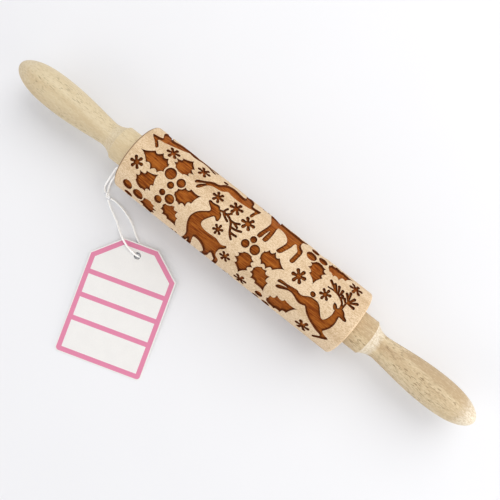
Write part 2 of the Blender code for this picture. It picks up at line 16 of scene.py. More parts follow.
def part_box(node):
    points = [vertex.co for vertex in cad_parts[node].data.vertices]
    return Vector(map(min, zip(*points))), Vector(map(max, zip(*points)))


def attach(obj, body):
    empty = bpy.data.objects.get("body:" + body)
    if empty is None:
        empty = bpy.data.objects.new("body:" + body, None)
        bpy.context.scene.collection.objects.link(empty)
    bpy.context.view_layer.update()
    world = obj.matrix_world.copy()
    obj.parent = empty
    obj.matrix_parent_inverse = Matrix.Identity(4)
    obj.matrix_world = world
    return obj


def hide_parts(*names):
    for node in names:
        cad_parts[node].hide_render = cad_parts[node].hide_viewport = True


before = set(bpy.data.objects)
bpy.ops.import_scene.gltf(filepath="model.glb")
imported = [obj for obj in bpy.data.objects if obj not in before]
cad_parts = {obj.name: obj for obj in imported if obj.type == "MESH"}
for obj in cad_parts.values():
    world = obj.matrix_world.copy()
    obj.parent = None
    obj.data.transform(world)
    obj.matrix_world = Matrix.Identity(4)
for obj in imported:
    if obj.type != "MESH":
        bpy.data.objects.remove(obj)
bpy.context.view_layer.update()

# Camera, at the photograph's place over the pin
CAMERA_PLACE = (0.021146, -0.014221, 0.351308)
CAMERA_TURN_DEGREES = (3.052, 0.556, 38.37)
FIELD_OF_VIEW_DEGREES = 50.033
CLIP_START = 0.01

# The pin's own sizes, as in the CAD, where the barrel rests on z = 0
BARREL_HALF = 0.083
AXIS_HEIGHT = (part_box("barrel")[0][2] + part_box("barrel")[1][2]) / 2
BARREL_RADIUS = AXIS_HEIGHT
BARREL_EDGE_RADIUS = 0.0015
BARREL_BORE_RADIUS = 0.005
SLEEVE_SEAT_RADIUS = 0.0063
SLEEVE_SEAT_DEPTH = 0.0165
FLANGE_SEAT_RADIUS = 0.0093
FLANGE_SEAT_DEPTH = 0.0025
HANDLE_END_GAP = 0.0006
COLLAR_RADIUS = 0.01175
COLLAR_LENGTH = 0.0132
COLLAR_EDGE_RADIUS = 0.0005
COVE_LENGTH = 0.0094
NECK_RADIUS = 0.0079
GRIP_RISE_LENGTH = 0.0398
GRIP_RADIUS = 0.01125
GRIP_TIP_LENGTH = 0.0315
INSERT_HOLE_RADIUS = 0.0059
INSERT_HOLE_DEPTH = 0.0133
TIP_POWER = 2.5
RISE_POWER = 1.2
COVE_POWER = 2

# Engraving
ENGRAVING_DEPTH = 0.0012
WALL_SLOPE = 0.00012
MOTIF_RADIUS = 0.0225
LEAPING_DEER_LENGTH = 0.044
STANDING_DEER_LENGTH = 0.029
LEAF_LENGTH = 0.015
BERRY_DIAMETER = 0.006
BERRY_CLEARANCE = 0.0008
STAR_DIAMETER = 0.0085
LEAST_WAY_IN = 0.1
FAR_FROM_RIMS = 1.0

# Cord, knot and tag
CORD_DIAMETER = 0.0013
CORD_PLIES = 3
CORD_LAY_LENGTH = 0.0046
PLY_DEPTH_SHARE = 0.18
CORD_GAP = 0.0005
RING_END_GAP = 0.0006
KNOT_LENGTH = 0.0044
KNOT_WIDTH = 0.0034
KNOT_HEIGHT = 0.0028
KNOT_FLOOR_GAP = 0.0001
KNOT_CORD_DIAMETER = 0.00115
TAG_WIDTH = 0.060
TAG_REACH = 0.076
TAG_HEAD = 0.008
TAG_TOP_WIDTH = 0.024
TAG_CLIP_LENGTH = 0.016
TAG_THICKNESS = 0.0006
TAG_CORNER_RADIUS = 0.003
TAG_HOLE_DIAMETER = 0.005
TAG_HOLE_X = -0.0484
TAG_HOLE_Y = -0.0504
TAG_TURN = math.radians(18.1)
TAG_LIFT = 0.0019
TAG_EDGE = 0.0001
TAG_BORDER_INSET = 0.0008
TAG_BORDER_WIDTH = 0.0032
TAG_BAR_WIDTH = 0.0032
TAG_BAR_REACHES = (-0.020, -0.036, -0.052)
MITRE_LIMIT = 0.3

# The cord's routes: from the knot up to the collar, down again, and through the tag
STRING_UP_ROUTE = [
    (-0.0903, -0.0297, 0.0013), (-0.0915, -0.0281, 0.0009), (-0.0923, -0.0260, 0.0011),
    (-0.0925, -0.0235, 0.0026), (-0.0921, -0.0203, 0.0050), (-0.0913, -0.0163, 0.0075),
    (-0.0900, -0.0112, 0.0091), (-0.0881, -0.0056, 0.0096), (-0.0859, 0.0000, 0.0096),
]
STRING_DOWN_ROUTE = [
    (-0.0852, -0.0128, 0.0248), (-0.0867, -0.0132, 0.0217), (-0.0885, -0.0131, 0.0189),
    (-0.0901, -0.0129, 0.0166), (-0.0914, -0.0135, 0.0144), (-0.0923, -0.0151, 0.0122),
    (-0.0930, -0.0173, 0.0096), (-0.0937, -0.0199, 0.0069), (-0.0943, -0.0226, 0.0043),
    (-0.0947, -0.0252, 0.0021), (-0.0946, -0.0274, 0.0010), (-0.0937, -0.0293, 0.0008),
    (-0.0925, -0.0305, 0.0010), (-0.0914, -0.0310, 0.0013),
]
RING_STEPS = 20
RING_START = math.radians(20)
RING_END = math.radians(245)
TAG_CORD_ROUTE = [
    (-0.0871, -0.0338, 0.0013), (-0.0853, -0.0352, 0.0009), (-0.0828, -0.0367, 0.0008),
    (-0.0793, -0.0386, 0.0008), (-0.0750, -0.0408, 0.0009), (-0.0710, -0.0431, 0.0014),
    (-0.0674, -0.0451, 0.0030), (-0.0636, -0.0471, 0.0039), (-0.0595, -0.0488, 0.0040),
    (-0.0552, -0.0500, 0.0039), (-0.0512, -0.0505, 0.0038), (-0.0494, -0.0505, 0.0031),
    (-0.0480, -0.0504, 0.0019), (-0.0464, -0.0502, 0.0009), (-0.0438, -0.0493, 0.0008),
    (-0.0424, -0.0471, 0.0008), (-0.0434, -0.0449, 0.0008), (-0.0460, -0.0440, 0.0008),
    (-0.0497, -0.0439, 0.0008), (-0.0539, -0.0429, 0.0008), (-0.0589, -0.0402, 0.0008),
    (-0.0636, -0.0371, 0.0008), (-0.0680, -0.0350, 0.0008), (-0.0730, -0.0333, 0.0008),
    (-0.0785, -0.0321, 0.0008), (-0.0832, -0.0317, 0.0009), (-0.0861, -0.0322, 0.0013),
]
KNOT_X = -0.0888
KNOT_Y = -0.0318
KNOT_TURN = math.radians(-30)

# Motif outlines, as shares of each motif's length, the deer's antlers as separate strokes
LEAPING_DEER_SHARES = [
    (-0.504, 0.032), (-0.497, 0.068), (-0.460, 0.083), (-0.400, 0.083), (-0.340, 0.088),
    (-0.270, 0.100), (-0.220, 0.103), (-0.175, 0.088), (-0.130, 0.090), (-0.080, 0.120),
    (-0.027, 0.145), (0.030, 0.150), (0.085, 0.145), (0.132, 0.116), (0.172, 0.072),
    (0.212, 0.030), (0.245, 0.004), (0.270, 0.004), (0.292, 0.032), (0.310, 0.080),
    (0.319, 0.135), (0.313, 0.185), (0.318, 0.225), (0.340, 0.258), (0.372, 0.274),
    (0.410, 0.265), (0.442, 0.243), (0.466, 0.213), (0.508, 0.192), (0.519, 0.168),
    (0.498, 0.155), (0.452, 0.157), (0.415, 0.160), (0.415, 0.138), (0.426, 0.086),
    (0.427, 0.025), (0.416, -0.036), (0.390, -0.096), (0.372, -0.140), (0.415, -0.168),
    (0.500, -0.195), (0.470, -0.238), (0.405, -0.290), (0.329, -0.362), (0.312, -0.330),
    (0.352, -0.278), (0.390, -0.236), (0.362, -0.214), (0.308, -0.204), (0.230, -0.172),
    (0.160, -0.140), (0.098, -0.104), (0.042, -0.065), (0.004, -0.024), (-0.022, -0.004),
    (-0.052, -0.016), (-0.100, -0.027), (-0.155, -0.015), (-0.205, 0.006), (-0.265, 0.024),
    (-0.325, 0.015), (-0.380, -0.012), (-0.426, -0.038), (-0.463, -0.046), (-0.484, -0.030),
    (-0.473, -0.004), (-0.425, 0.022), (-0.345, 0.045), (-0.402, 0.042), (-0.455, 0.034),
]
LEAPING_EAR_SHARES = [
    (0.337, 0.215), (0.296, 0.196), (0.262, 0.228), (0.250, 0.278), (0.285, 0.275), (0.322, 0.246),
]
LEAPING_STROKE_SHARES = [
    [(0.360, 0.255), (0.335, 0.330), (0.276, 0.374), (0.205, 0.398), (0.141, 0.401), (0.068, 0.394)],
    [(0.191, 0.396), (0.058, 0.496)], [(0.205, 0.398), (0.128, 0.492)],
    [(0.233, 0.391), (0.188, 0.498)], [(0.252, 0.384), (0.258, 0.478)],
    [(0.302, 0.350), (0.288, 0.418)],
    [(0.372, 0.262), (0.376, 0.332), (0.388, 0.392)],
    [(0.377, 0.350), (0.330, 0.402)], [(0.386, 0.400), (0.322, 0.486)],
    [(0.390, 0.399), (0.362, 0.531)], [(0.395, 0.387), (0.448, 0.488)],
    [(0.393, 0.380), (0.508, 0.456)], [(0.390, 0.373), (0.492, 0.372)],
]
LEAPING_TAIL_SHARES = [(-0.040, 0.190), (-0.026, 0.184)]
STANDING_DEER_SHARES = [
    (-0.385, 0.552), (-0.345, 0.505), (-0.292, 0.470), (-0.254, 0.442), (-0.240, 0.404),
    (-0.288, 0.358), (-0.357, 0.305), (-0.424, 0.242), (-0.474, 0.160), (-0.501, 0.068),
    (-0.495, -0.034), (-0.466, -0.137), (-0.430, -0.237), (-0.398, -0.330), (-0.412, -0.500),
    (-0.468, -0.780), (-0.392, -0.790), (-0.350, -0.640), (-0.318, -0.520), (-0.322, -0.640),
    (-0.330, -0.785), (-0.246, -0.785), (-0.215, -0.560), (-0.224, -0.400), (-0.218, -0.305),
    (-0.180, -0.286), (-0.109, -0.292), (-0.042, -0.317), (0.022, -0.364), (0.070, -0.430),
    (0.092, -0.500), (0.070, -0.610), (0.020, -0.785), (0.108, -0.785), (0.180, -0.640),
    (0.222, -0.520), (0.240, -0.392), (0.268, -0.362), (0.322, -0.434), (0.368, -0.500),
    (0.360, -0.640), (0.352, -0.785), (0.430, -0.785), (0.464, -0.600), (0.474, -0.470),
    (0.452, -0.392), (0.404, -0.358), (0.362, -0.300), (0.357, -0.200), (0.375, -0.121),
    (0.431, -0.066), (0.470, 0.003), (0.450, 0.036), (0.406, 0.012), (0.340, -0.010),
    (0.267, 0.011), (0.194, 0.033), (0.120, 0.030), (0.020, 0.022), (-0.082, 0.021),
    (-0.162, 0.038), (-0.214, 0.066), (-0.233, 0.112), (-0.223, 0.175), (-0.180, 0.254),
    (-0.136, 0.322), (-0.100, 0.362), (-0.064, 0.346), (-0.028, 0.316), (0.012, 0.322),
    (0.022, 0.372), (0.012, 0.438), (-0.016, 0.486), (-0.058, 0.510), (-0.095, 0.540),
    (-0.120, 0.580), (-0.166, 0.600), (-0.234, 0.582), (-0.298, 0.576), (-0.352, 0.586),
]
STANDING_STROKE_SHARES = [
    [(-0.080, 0.528), (-0.006, 0.556)],
    [(-0.006, 0.552), (-0.004, 0.598), (0.018, 0.652)],
    [(0.016, 0.522), (0.084, 0.480), (0.160, 0.448)],
    [(0.058, 0.540), (0.092, 0.574), (0.138, 0.622)],
    [(0.002, 0.548), (0.087, 0.547), (0.161, 0.525), (0.236, 0.469), (0.285, 0.394), (0.329, 0.316),
     (0.374, 0.262), (0.436, 0.210)],
    [(0.206, 0.500), (0.299, 0.507), (0.392, 0.556)], [(0.291, 0.503), (0.396, 0.466)],
    [(0.276, 0.402), (0.389, 0.409), (0.508, 0.452)], [(0.336, 0.310), (0.421, 0.310), (0.484, 0.318)],
]
LEAF_SPINE_SHARES = [(-0.04, 0.0), (0.0, 0.22), (0.15, 0.42), (0.38, 0.49), (0.62, 0.35), (1.10, 0.0)]
LEAF_HOLLOW_SHARES = [0.02, 0.14, 0.26, 0.28, 0.21]

# Widths of the deer's strokes, and the star's petals and centre as shares of its radius
TINE_ROOT_WIDTH = 0.0010
TINE_END_WIDTH = 0.0020
BEAM_WIDTH = 0.0015
TAIL_WIDTH = 0.0030
PETAL_COUNT = 6
PETAL_ROOT_SHARE = 0.22
PETAL_ROOT_WIDTH_SHARE = 0.30
PETAL_END_WIDTH_SHARE = 0.50
STAR_CENTRE_SHARE = 0.42

# Places: share of the barrel's half length, degrees round from its top, share of the motif's
# own size, then for deer the turn and mirrored or not, for leaves turn and width, for stars turn
FRONT_LEAPING_SHARES = [(0.65, -23, 1.0, 0, False)]
FRONT_STANDING_SHARES = [(-0.20, -29, 1.0, 0, False)]
FRONT_LEAF_SHARES = [
    (-0.71, 10, 1.23, 180, 0.72), (-0.63, 19, 0.87, 82, 1.15), (-0.81, -37, 0.97, 60, 0.95),
    (-0.54, -15, 1.03, 37, 0.80), (-0.56, -34, 1.0, -42, 0.85), (0.19, -3, 1.03, 4, 0.78),
    (0.11, -15, 0.97, -84, 0.90), (0.22, -22, 1.07, -45, 0.80), (0.42, -64, 1.30, 34, 0.75),
]
FRONT_BERRY_SHARES = [
    (-0.66, 8, 1.20), (-0.56, 6, 0.93), (-0.61, -6, 0.73), (-0.63, -22, 0.67), (-0.63, -36, 0.87),
    (-0.56, -24, 1.03), (-0.88, -51, 1.13), (-0.78, -55, 1.23), (0.08, 7, 0.70), (0.05, -5, 0.86),
    (0.13, -4, 1.04), (0.34, -64, 0.90), (0.42, -78, 1.0), (0.33, -80, 0.83),
]
FRONT_STAR_SHARES = [
    (-0.90, -10, 1.0, 10), (-0.75, 38, 1.05, 20), (-0.50, 47, 1.07, 5), (-0.30, 25, 0.93, 0),
    (-0.15, 29, 1.07, 15), (-0.02, 21, 1.10, 8), (-0.16, -14, 0.82, 25), (-0.01, -43, 0.90, 10),
    (0.17, -64, 1.12, 15), (0.48, 6, 1.12, 12), (0.70, 9, 0.90, 20), (0.72, -57, 1.20, 10),
]
UPPER_LEAPING_SHARES = [(-0.27, 46, 0.95, 32, False), (-0.69, 66, 1.0, 0, True)]
UPPER_STANDING_SHARES = [(0.24, 73, 1.0, 0, False)]
UPPER_LEAF_SHARES = [
    (-0.70, -51, 0.93, -75, 1.0), (0.54, 45, 0.97, -74, 0.85), (0.62, 52, 1.17, 20, 0.75),
    (0.52, 73, 0.93, 78, 0.85), (-0.36, -109, 1.0, 30, 0.80), (0.75, 127, 1.0, -20, 0.80),
]
UPPER_BERRY_SHARES = [
    (-0.86, -73, 1.0), (0.47, 48, 1.17), (0.56, 56, 1.03), (0.48, 66, 0.93), (-0.27, -122, 0.92),
    (0.67, 120, 0.92),
]
UPPER_STAR_SHARES = [
    (0.86, 51, 1.12, 15), (0.73, 92, 1.12, 5), (0.90, 100, 1.05, 20), (0.01, 84, 1.07, 12),
    (-0.42, 88, 1.0, 0), (0.03, 117, 0.95, 0), (-0.53, 112, 1.05, 25), (-0.07, 130, 1.0, 10),
    (0.53, 129, 1.0, 10), (-0.10, -107, 1.0, 0), (0.87, -97, 1.05, 15), (-0.43, -87, 1.0, 5),
    (-0.57, -108, 1.0, 10), (0.07, -89, 1.05, 20), (0.63, 153, 1.0, 0),
]
BACK_TURN_DEGREES = 214

# Mesh fineness and tolerances
SHEET_STEP_X = 0.0015
SHEET_SIDES = 120
INNER_STEP = 0.0007
OUTLINE_CLEARANCE = 0.0003
OUTLINE_STEPS = 3
LEAF_ARC_STEPS = 6
BERRY_SIDES = 28
ROUND_END_STEPS = 6
EDGE_STEPS = 6
HANDLE_SIDES = 96
TIP_STEPS = 26
RISE_STEPS = 22
COVE_STEPS = 12
CORD_STEP = 0.00045
CORD_SIDES = 24
CURVE_STEPS = 12
KNOT_STEPS = 110
COLLAR_EDGE_STEPS = 4
TAG_CORNER_STEPS = 8
TAG_HOLE_STEPS = 32
FLOOR_STEPS = 8
SHARP_ANGLE = math.radians(38)
CORD_SHARP_ANGLE = math.radians(75)
WELD_DISTANCE = 1e-6
SAME_PLACE = 1e-7
OUTLINE_TOLERANCE = 1e-8
SHORTEST_CHORD = 1e-9
MICROMETRES_PER_METRE = 1e6

# Looks: the cut grain's colours, partly a painted highlight on the handles' slopes, the painted shade
# line near the barrel's left end, depths of relief and scatter
GRAIN_AND_HIGHLIGHT_PALE = (0.73, 0.66, 0.535)
GRAIN_AND_HIGHLIGHT_DARK = (0.55, 0.45, 0.31)
PAINTED_SHADE_LINE_WIDTH = 0.00045
PAINTED_SHADE_LINE_END_GAP = 0.0006
PAINTED_SHADE_LINE_SHARE = 0.8
GRAIN_RELIEF = 0.00006
BURNT_RELIEF = 0.00007
METAL_RELIEF = 0.00002
PLASTIC_RELIEF = 0.00003
CARD_RELIEF = 0.00002
CORD_RELIEF = 0.00004
CORD_SCATTER_DEPTH = 0.0006

# Floor and light: name, place, the point it shines at, side, power and colour
FLOOR_HALF = 3.0
WORLD_COLOUR = (0.95, 0.95, 1.0, 1.0)
WORLD_STRENGTH = 0.57
STUDIO_LIGHTS = [
    ("window", (0.10, 0.64, 0.76), (0, 0, 0), 0.9, 6.6, (1.0, 0.98, 0.95)),
    ("overhead", (0.1, -0.1, 1.3), (0, 0, 0), 1.2, 2.6, (1.0, 1.0, 1.0)),
    ("fill", (-0.45, -0.95, 0.40), (0, 0, 0), 1.0, 5.0, (1.0, 0.99, 0.97)),
    ("right_end", (0.85, 0.0, 0.12), (0.1, 0, 0.03), 0.30, 4, (1.0, 0.99, 0.97)),
]


# Camera
def make_camera():
    data = bpy.data.cameras.new("photo_camera")
    camera = bpy.data.objects.new("photo_camera", data)
    bpy.context.scene.collection.objects.link(camera)
    camera.location = CAMERA_PLACE
    camera.rotation_euler = [math.radians(angle) for angle in CAMERA_TURN_DEGREES]
    data.angle = math.radians(FIELD_OF_VIEW_DEGREES)
    data.clip_start = CLIP_START
    bpy.context.scene.camera = camera


# Node helpers
def new_material(name):
    made = bpy.data.materials.new(name)
    made.use_nodes = True
    return made, made.node_tree, made.node_tree.nodes["Principled BSDF"]


def feed(tree, node, inputs):
    """Links each of these inputs to a socket, or sets it to a number, a place or a colour."""
    for key, value in inputs.items():
        if isinstance(value, bpy.types.NodeSocket):
            tree.links.new(value, node.inputs[key])
        else:
            node.inputs[key].default_value = value


def add(tree, kind, inputs, **settings):
    made = tree.nodes.new(kind)
    for key, value in settings.items():
        setattr(made, key, value)
    feed(tree, made, inputs)
    return made


def ramp(tree, factor, stops):
    """Colours blended from stop to stop as the factor goes from 0 to 1."""
    made = add(tree, "ShaderNodeValToRGB", {"Fac": factor})
    elements = made.color_ramp.elements
    while len(elements) < len(stops):
        elements.new(1.0)
    for element, (position, colour) in zip(elements, stops):
        element.position = position
        element.color = (*colour, 1.0)
    return made.outputs["Color"]


def mix(tree, factor, first, second):
    first, second = [(*value, 1.0) if isinstance(value, tuple) else value for value in (first, second)]
    return add(tree, "ShaderNodeMix", {0: factor, 6: first, 7: second}, data_type="RGBA").outputs[2]


def calculate(tree, operation, *values):
    return add(tree, "ShaderNodeMath", dict(enumerate(values)), operation=operation).outputs[0]


def attribute(tree, name):
    """A number that the mesh holds at its points."""
    return add(tree, "ShaderNodeAttribute", {}, attribute_name=name).outputs["Fac"]


def coordinate(tree, axis):
    """The object coordinates along one axis."""
    place = add(tree, "ShaderNodeTexCoord", {}).outputs["Object"]
    return add(tree, "ShaderNodeSeparateXYZ", {"Vector": place}).outputs[axis]


def stretched(tree, scale):
    """Object coordinates with a scale of their own on each axis."""
    place = add(tree, "ShaderNodeTexCoord", {}).outputs["Object"]
    return add(tree, "ShaderNodeMapping", {"Vector": place, "Scale": scale}).outputs["Vector"]


def noise(tree, scale, detail=3.0, roughness=0.55, distortion=0.0):
    """Noise with about this many cells to the metre along each axis."""
    inputs = {"Vector": stretched(tree, scale), "Scale": 1.0, "Detail": detail, "Roughness": roughness,
              "Distortion": distortion}
    return add(tree, "ShaderNodeTexNoise", inputs).outputs["Fac"]


def span(tree, value, low, high, out_low=0.0, out_high=1.0):
    """The value eased from one range to another, and held at its ends."""
    inputs = {"Value": value, "From Min": low, "From Max": high, "To Min": out_low, "To Max": out_high}
    return add(tree, "ShaderNodeMapRange", inputs, interpolation_type="SMOOTHSTEP").outputs["Result"]


def tinted(tree, colour, tint, pattern, low, high, share):
    """The colour with up to this share of the tint, as the pattern goes from low to high."""
    return mix(tree, span(tree, pattern, low, high, 0.0, share), colour, tint)


def bump(tree, height, depth, strength):
    """Normals with this depth of relief for a height of 1."""
    inputs = {"Height": height, "Distance": depth, "Strength": strength}
    return add(tree, "ShaderNodeBump", inputs).outputs["Normal"]


# Materials
def wood(name, pale, middle, tan, fleck, fleck_amount, fleck_edge, mottle_scale, mottle_share,
         side=None, end_grain_and_highlight=0.0, painted_shade_line=None):
    """Turned beech: soft bands, fine mottling and short dark flecks along X.

    Side holds the share of the tan and how fast it grows with Y, where the flecks fade.
    The end grain share gives the cut grain's colours to surfaces that slope across the grain. This is
    partly the grain's own colour and partly a painted highlight where the light from the right end falls
    on the coves and tips. The last argument holds the x and colour of a thin painted shade line on the
    barrel's left edge.
    """
    made, tree, shader = new_material(name)
    bands = noise(tree, (9, 95, 95), 4.0, 0.5, 0.6)
    colour = ramp(tree, bands, [(0.30, pale), (0.52, middle), (0.74, tan)])
    patches = noise(tree, (40, 160, 160), 2.0)
    if side:
        tan_share, growth = side
        wave = noise(tree, (14, 120, 120), 3.0)
        # Tan that grows towards +Y round the grips, with fewer flecks on that side.
        toward_plus_y = calculate(tree, "MULTIPLY_ADD", coordinate(tree, "Y"), growth, wave)
        colour = tinted(tree, colour, tan, toward_plus_y, 0.40, 0.62, tan_share)
        fleck_reach = span(tree, toward_plus_y, 0.66, 0.42, 0.15, fleck_amount)
        patch_share = span(tree, patches, 0.40, 0.62, 0.45, 1.0)
        patch_share = calculate(tree, "MULTIPLY", patch_share, fleck_reach)
    else:
        patch_share = span(tree, patches, 0.40, 0.62, 0.15, fleck_amount)
    mottle = noise(tree, mottle_scale, 2.0, 0.6)
    colour = tinted(tree, colour, tan, mottle, 0.46, 0.64, mottle_share)
    colour = tinted(tree, colour, pale, mottle, 0.48, 0.34, mottle_share)
    flecks = noise(tree, (320, 2000, 2000), 1.0, 0.4)
    flecks = span(tree, flecks, fleck_edge, fleck_edge + 0.05)
    fleck_share = calculate(tree, "MULTIPLY", flecks, patch_share)
    colour = mix(tree, fleck_share, colour, fleck)
    # The cut grain's paler colours on sloping surfaces: partly the wood's end grain, partly a painted
    # highlight where light from the right end falls.
    if end_grain_and_highlight:
        speckled = ramp(tree, mottle, [(0.40, GRAIN_AND_HIGHLIGHT_PALE), (0.62, GRAIN_AND_HIGHLIGHT_DARK)])
        colour = tinted(tree, colour, speckled, attribute(tree, "slope"), 0.12, 0.40, end_grain_and_highlight)
    # A thin dark line near the barrel's left end: painted shade on the edge that the light from the right
    # does not reach.
    if painted_shade_line:
        line_x, painted_shade_colour = painted_shade_line
        line = calculate(tree, "COMPARE", coordinate(tree, "X"), line_x, PAINTED_SHADE_LINE_WIDTH)
        colour = mix(tree, calculate(tree, "MULTIPLY", line, PAINTED_SHADE_LINE_SHARE), colour, painted_shade_colour)
    lines = noise(tree, (120, 2600, 2600), 3.0, 0.6)
    feed(tree, shader, {
        "Base Color": colour,
        "Roughness": span(tree, mottle, 0.3, 0.7, 0.52, 0.68),
        "Specular IOR Level": 0.35,
        "Normal": bump(tree, calculate(tree, "SUBTRACT", lines, fleck_share), GRAIN_RELIEF, 0.6),
    })
    return made


def burnt(name, light, middle, dark, rim_colour_and_shade, rim_reach):
    """Laser-burnt wood: grain streaks, scan lines, and the rim's colour near the rims. On the floors this
    rim colour is painted shade at the foot of the walls.
    """
    made, tree, shader = new_material(name)
    grain = noise(tree, (100, 1400, 1400), 4.0, 0.62, 0.4)
    colour = ramp(tree, grain, [(0.34, dark), (0.50, middle), (0.64, light)])
    patches = noise(tree, (160, 220, 220), 3.0)
    colour = tinted(tree, colour, light, patches, 0.42, 0.66, 0.40)
    ragged = noise(tree, (900, 900, 900), 2.0)
    # Near the rims the colour turns to the rim colour. On the floors this is painted shade at the foot of
    # the walls; on the walls it is their own burnt colour.
    reach = calculate(tree, "MULTIPLY_ADD", ragged, rim_reach, attribute(tree, "rim_distance"))
    colour = mix(tree, span(tree, reach, rim_reach * 0.30, rim_reach * 1.60), rim_colour_and_shade, colour)
    inputs = {"Vector": stretched(tree, (2600, 0, 0)), "Scale": 1.0, "Distortion": 1.5, "Detail": 2.0}
    scan = add(tree, "ShaderNodeTexWave", inputs, bands_direction="X").outputs["Fac"]
    feed(tree, shader, {
        "Base Color": colour,
        "Roughness": 0.82,
        "Specular IOR Level": 0.1,
        "Normal": bump(tree, calculate(tree, "ADD", grain, scan), BURNT_RELIEF, 0.7),
    })
    return made


def metal(name, colour, scale, roughness):
    """Drawn or turned metal with fine lines round the axis."""
    made, tree, shader = new_material(name)
    lines = noise(tree, scale, 4.0, 0.7)
    feed(tree, shader, {
        "Base Color": tinted(tree, colour, (0.2, 0.19, 0.18), lines, 0.3, 0.7, 0.3),
        "Roughness": span(tree, lines, 0.3, 0.7, roughness, roughness + 0.2),
        "Metallic": 1.0,
        "Normal": bump(tree, lines, METAL_RELIEF, 0.5),
    })
    return made


def plastic(name, colour, roughness):
    """Moulded plastic, faintly clouded."""
    made, tree, shader = new_material(name)
    cloud = noise(tree, (600, 600, 600))
    feed(tree, shader, {
        "Base Color": tinted(tree, colour, (0.6, 0.58, 0.52), cloud, 0.3, 0.7, 0.12),
        "Roughness": span(tree, cloud, 0.3, 0.7, roughness, roughness + 0.15),
        "Normal": bump(tree, cloud, PLASTIC_RELIEF, 0.4),
    })
    return made


def paper(name, colour, tint, roughness):
    """Coated card with faint fibres, or ink on it."""
    made, tree, shader = new_material(name)
    fibre = noise(tree, (1300, 1300, 1300), 4.0, 0.65)
    mottled = tinted(tree, colour, tint, fibre, 0.35, 0.7, 0.25)
    cloud = noise(tree, (130, 130, 130), 2.0)
    feed(tree, shader, {
        "Base Color": tinted(tree, mottled, tint, cloud, 0.3, 0.7, 0.2),
        "Roughness": span(tree, fibre, 0.3, 0.7, roughness, roughness + 0.15),
        "Normal": bump(tree, fibre, CARD_RELIEF, 0.5),
    })
    return made


def satin_cord(name, colour, shade):
    """Soft twisted fibre that lets some light through."""
    made, tree, shader = new_material(name)
    fibre = noise(tree, (2600, 2600, 2600), 3.0, 0.6)
    feed(tree, shader, {
        "Base Color": tinted(tree, colour, shade, fibre, 0.35, 0.7, 0.5),
        "Roughness": span(tree, fibre, 0.3, 0.7, 0.38, 0.6),
        "Sheen Weight": 0.8,
        "Subsurface Weight": 0.5,
        "Subsurface Radius": (1.0, 1.0, 1.0),
        "Subsurface Scale": CORD_SCATTER_DEPTH,
        "Normal": bump(tree, fibre, CORD_RELIEF, 0.6),
    })
    return made


def matt_floor(name, colour):
    made, tree, shader = new_material(name)
    cloud = noise(tree, (9, 9, 9))
    feed(tree, shader, {
        "Base Color": tinted(tree, colour, (0.68, 0.68, 0.70), cloud, 0.3, 0.7, 0.08),
        "Roughness": 0.9,
        "Specular IOR Level": 0.1,
    })
    return made


# Mesh helpers
def link_mesh(name, verts, faces, materials, indices=None, sharp=SHARP_ANGLE):
    """A mesh object, shaded smooth but for edges that turn by more than an angle."""
    mesh = bpy.data.meshes.new(name)
    mesh.from_pydata(verts, [], faces)
    for material in materials:
        mesh.materials.append(material)
    if indices is not None:
        mesh.polygons.foreach_set("material_index", indices)
    mesh.validate()
    mesh.update()
    mesh.shade_smooth()
    mesh.set_sharp_from_angle(angle=sharp)
    made = bpy.data.objects.new(name, mesh)
    bpy.context.scene.collection.objects.link(made)
    return made


def weld(piece, distance):
    """Joins points that lie this close, which takes out the triangles without area."""
    shape = bmesh.new()
    shape.from_mesh(piece.data)
    bmesh.ops.remove_doubles(shape, verts=shape.verts, dist=distance)
    shape.to_mesh(piece.data)
    shape.free()


# Lines and outlines
def arc_points(centre, radius, start, end, steps):
    points = []
    for step in range(steps + 1):
        angle = start + (end - start) * step / steps
        points.append((centre[0] + radius * math.cos(angle), centre[1] + radius * math.sin(angle)))
    return points


def circle(centre, radius, sides):
    return arc_points(centre, radius, 0, math.tau, sides)[:-1]


def rectangle(half_width, low, high):
    return [(-half_width, low), (half_width, low), (half_width, high), (-half_width, high)]


def edges_of(ring):
    """Each corner of a closed list with the one after it."""
    return zip(ring, ring[1:] + ring[:1])


def reaches(line):
    """How far along a line each of its points lies."""
    reached = [0.0]
    for first, second in zip(line, line[1:]):
        reached.append(reached[-1] + (second - first).length)
    return reached


def between(first, second, low, high, t):
    """The place at t on the way from the first place, at low, to the second, at high."""
    return first * ((high - t) / (high - low)) + second * ((t - low) / (high - low))


def smooth_line(points, closed, steps):
    """A centripetal spline through points of two or three numbers."""
    places = [Vector(point) for point in points]
    if closed:
        ring = [places[-1]] + places + places[:2]
    else:
        ring = [2 * places[0] - places[1]] + places + [2 * places[-1] - places[-2]]
    curve = []
    for index in range(len(ring) - 3):
        a, b, c, d = ring[index:index + 4]
        t0 = 0.0
        t1 = t0 + max((b - a).length, SHORTEST_CHORD) ** 0.5
        t2 = t1 + max((c - b).length, SHORTEST_CHORD) ** 0.5
        t3 = t2 + max((d - c).length, SHORTEST_CHORD) ** 0.5
        for step in range(steps):
            t = t1 + (t2 - t1) * step / steps
            second = between(b, c, t1, t2, t)
            left = between(between(a, b, t0, t1, t), second, t0, t2, t)
            right = between(second, between(c, d, t2, t3, t), t1, t3, t)
            curve.append(between(left, right, t1, t2, t))
    if not closed:
        curve.append(places[-1])
    return curve


def round_end(end, before, width):
    """The half circle that closes a stroke at one end."""
    heading = end - before
    angle = math.atan2(heading.y, heading.x)
    return arc_points(end, width / 2, angle - math.pi / 2, angle + math.pi / 2, ROUND_END_STEPS)


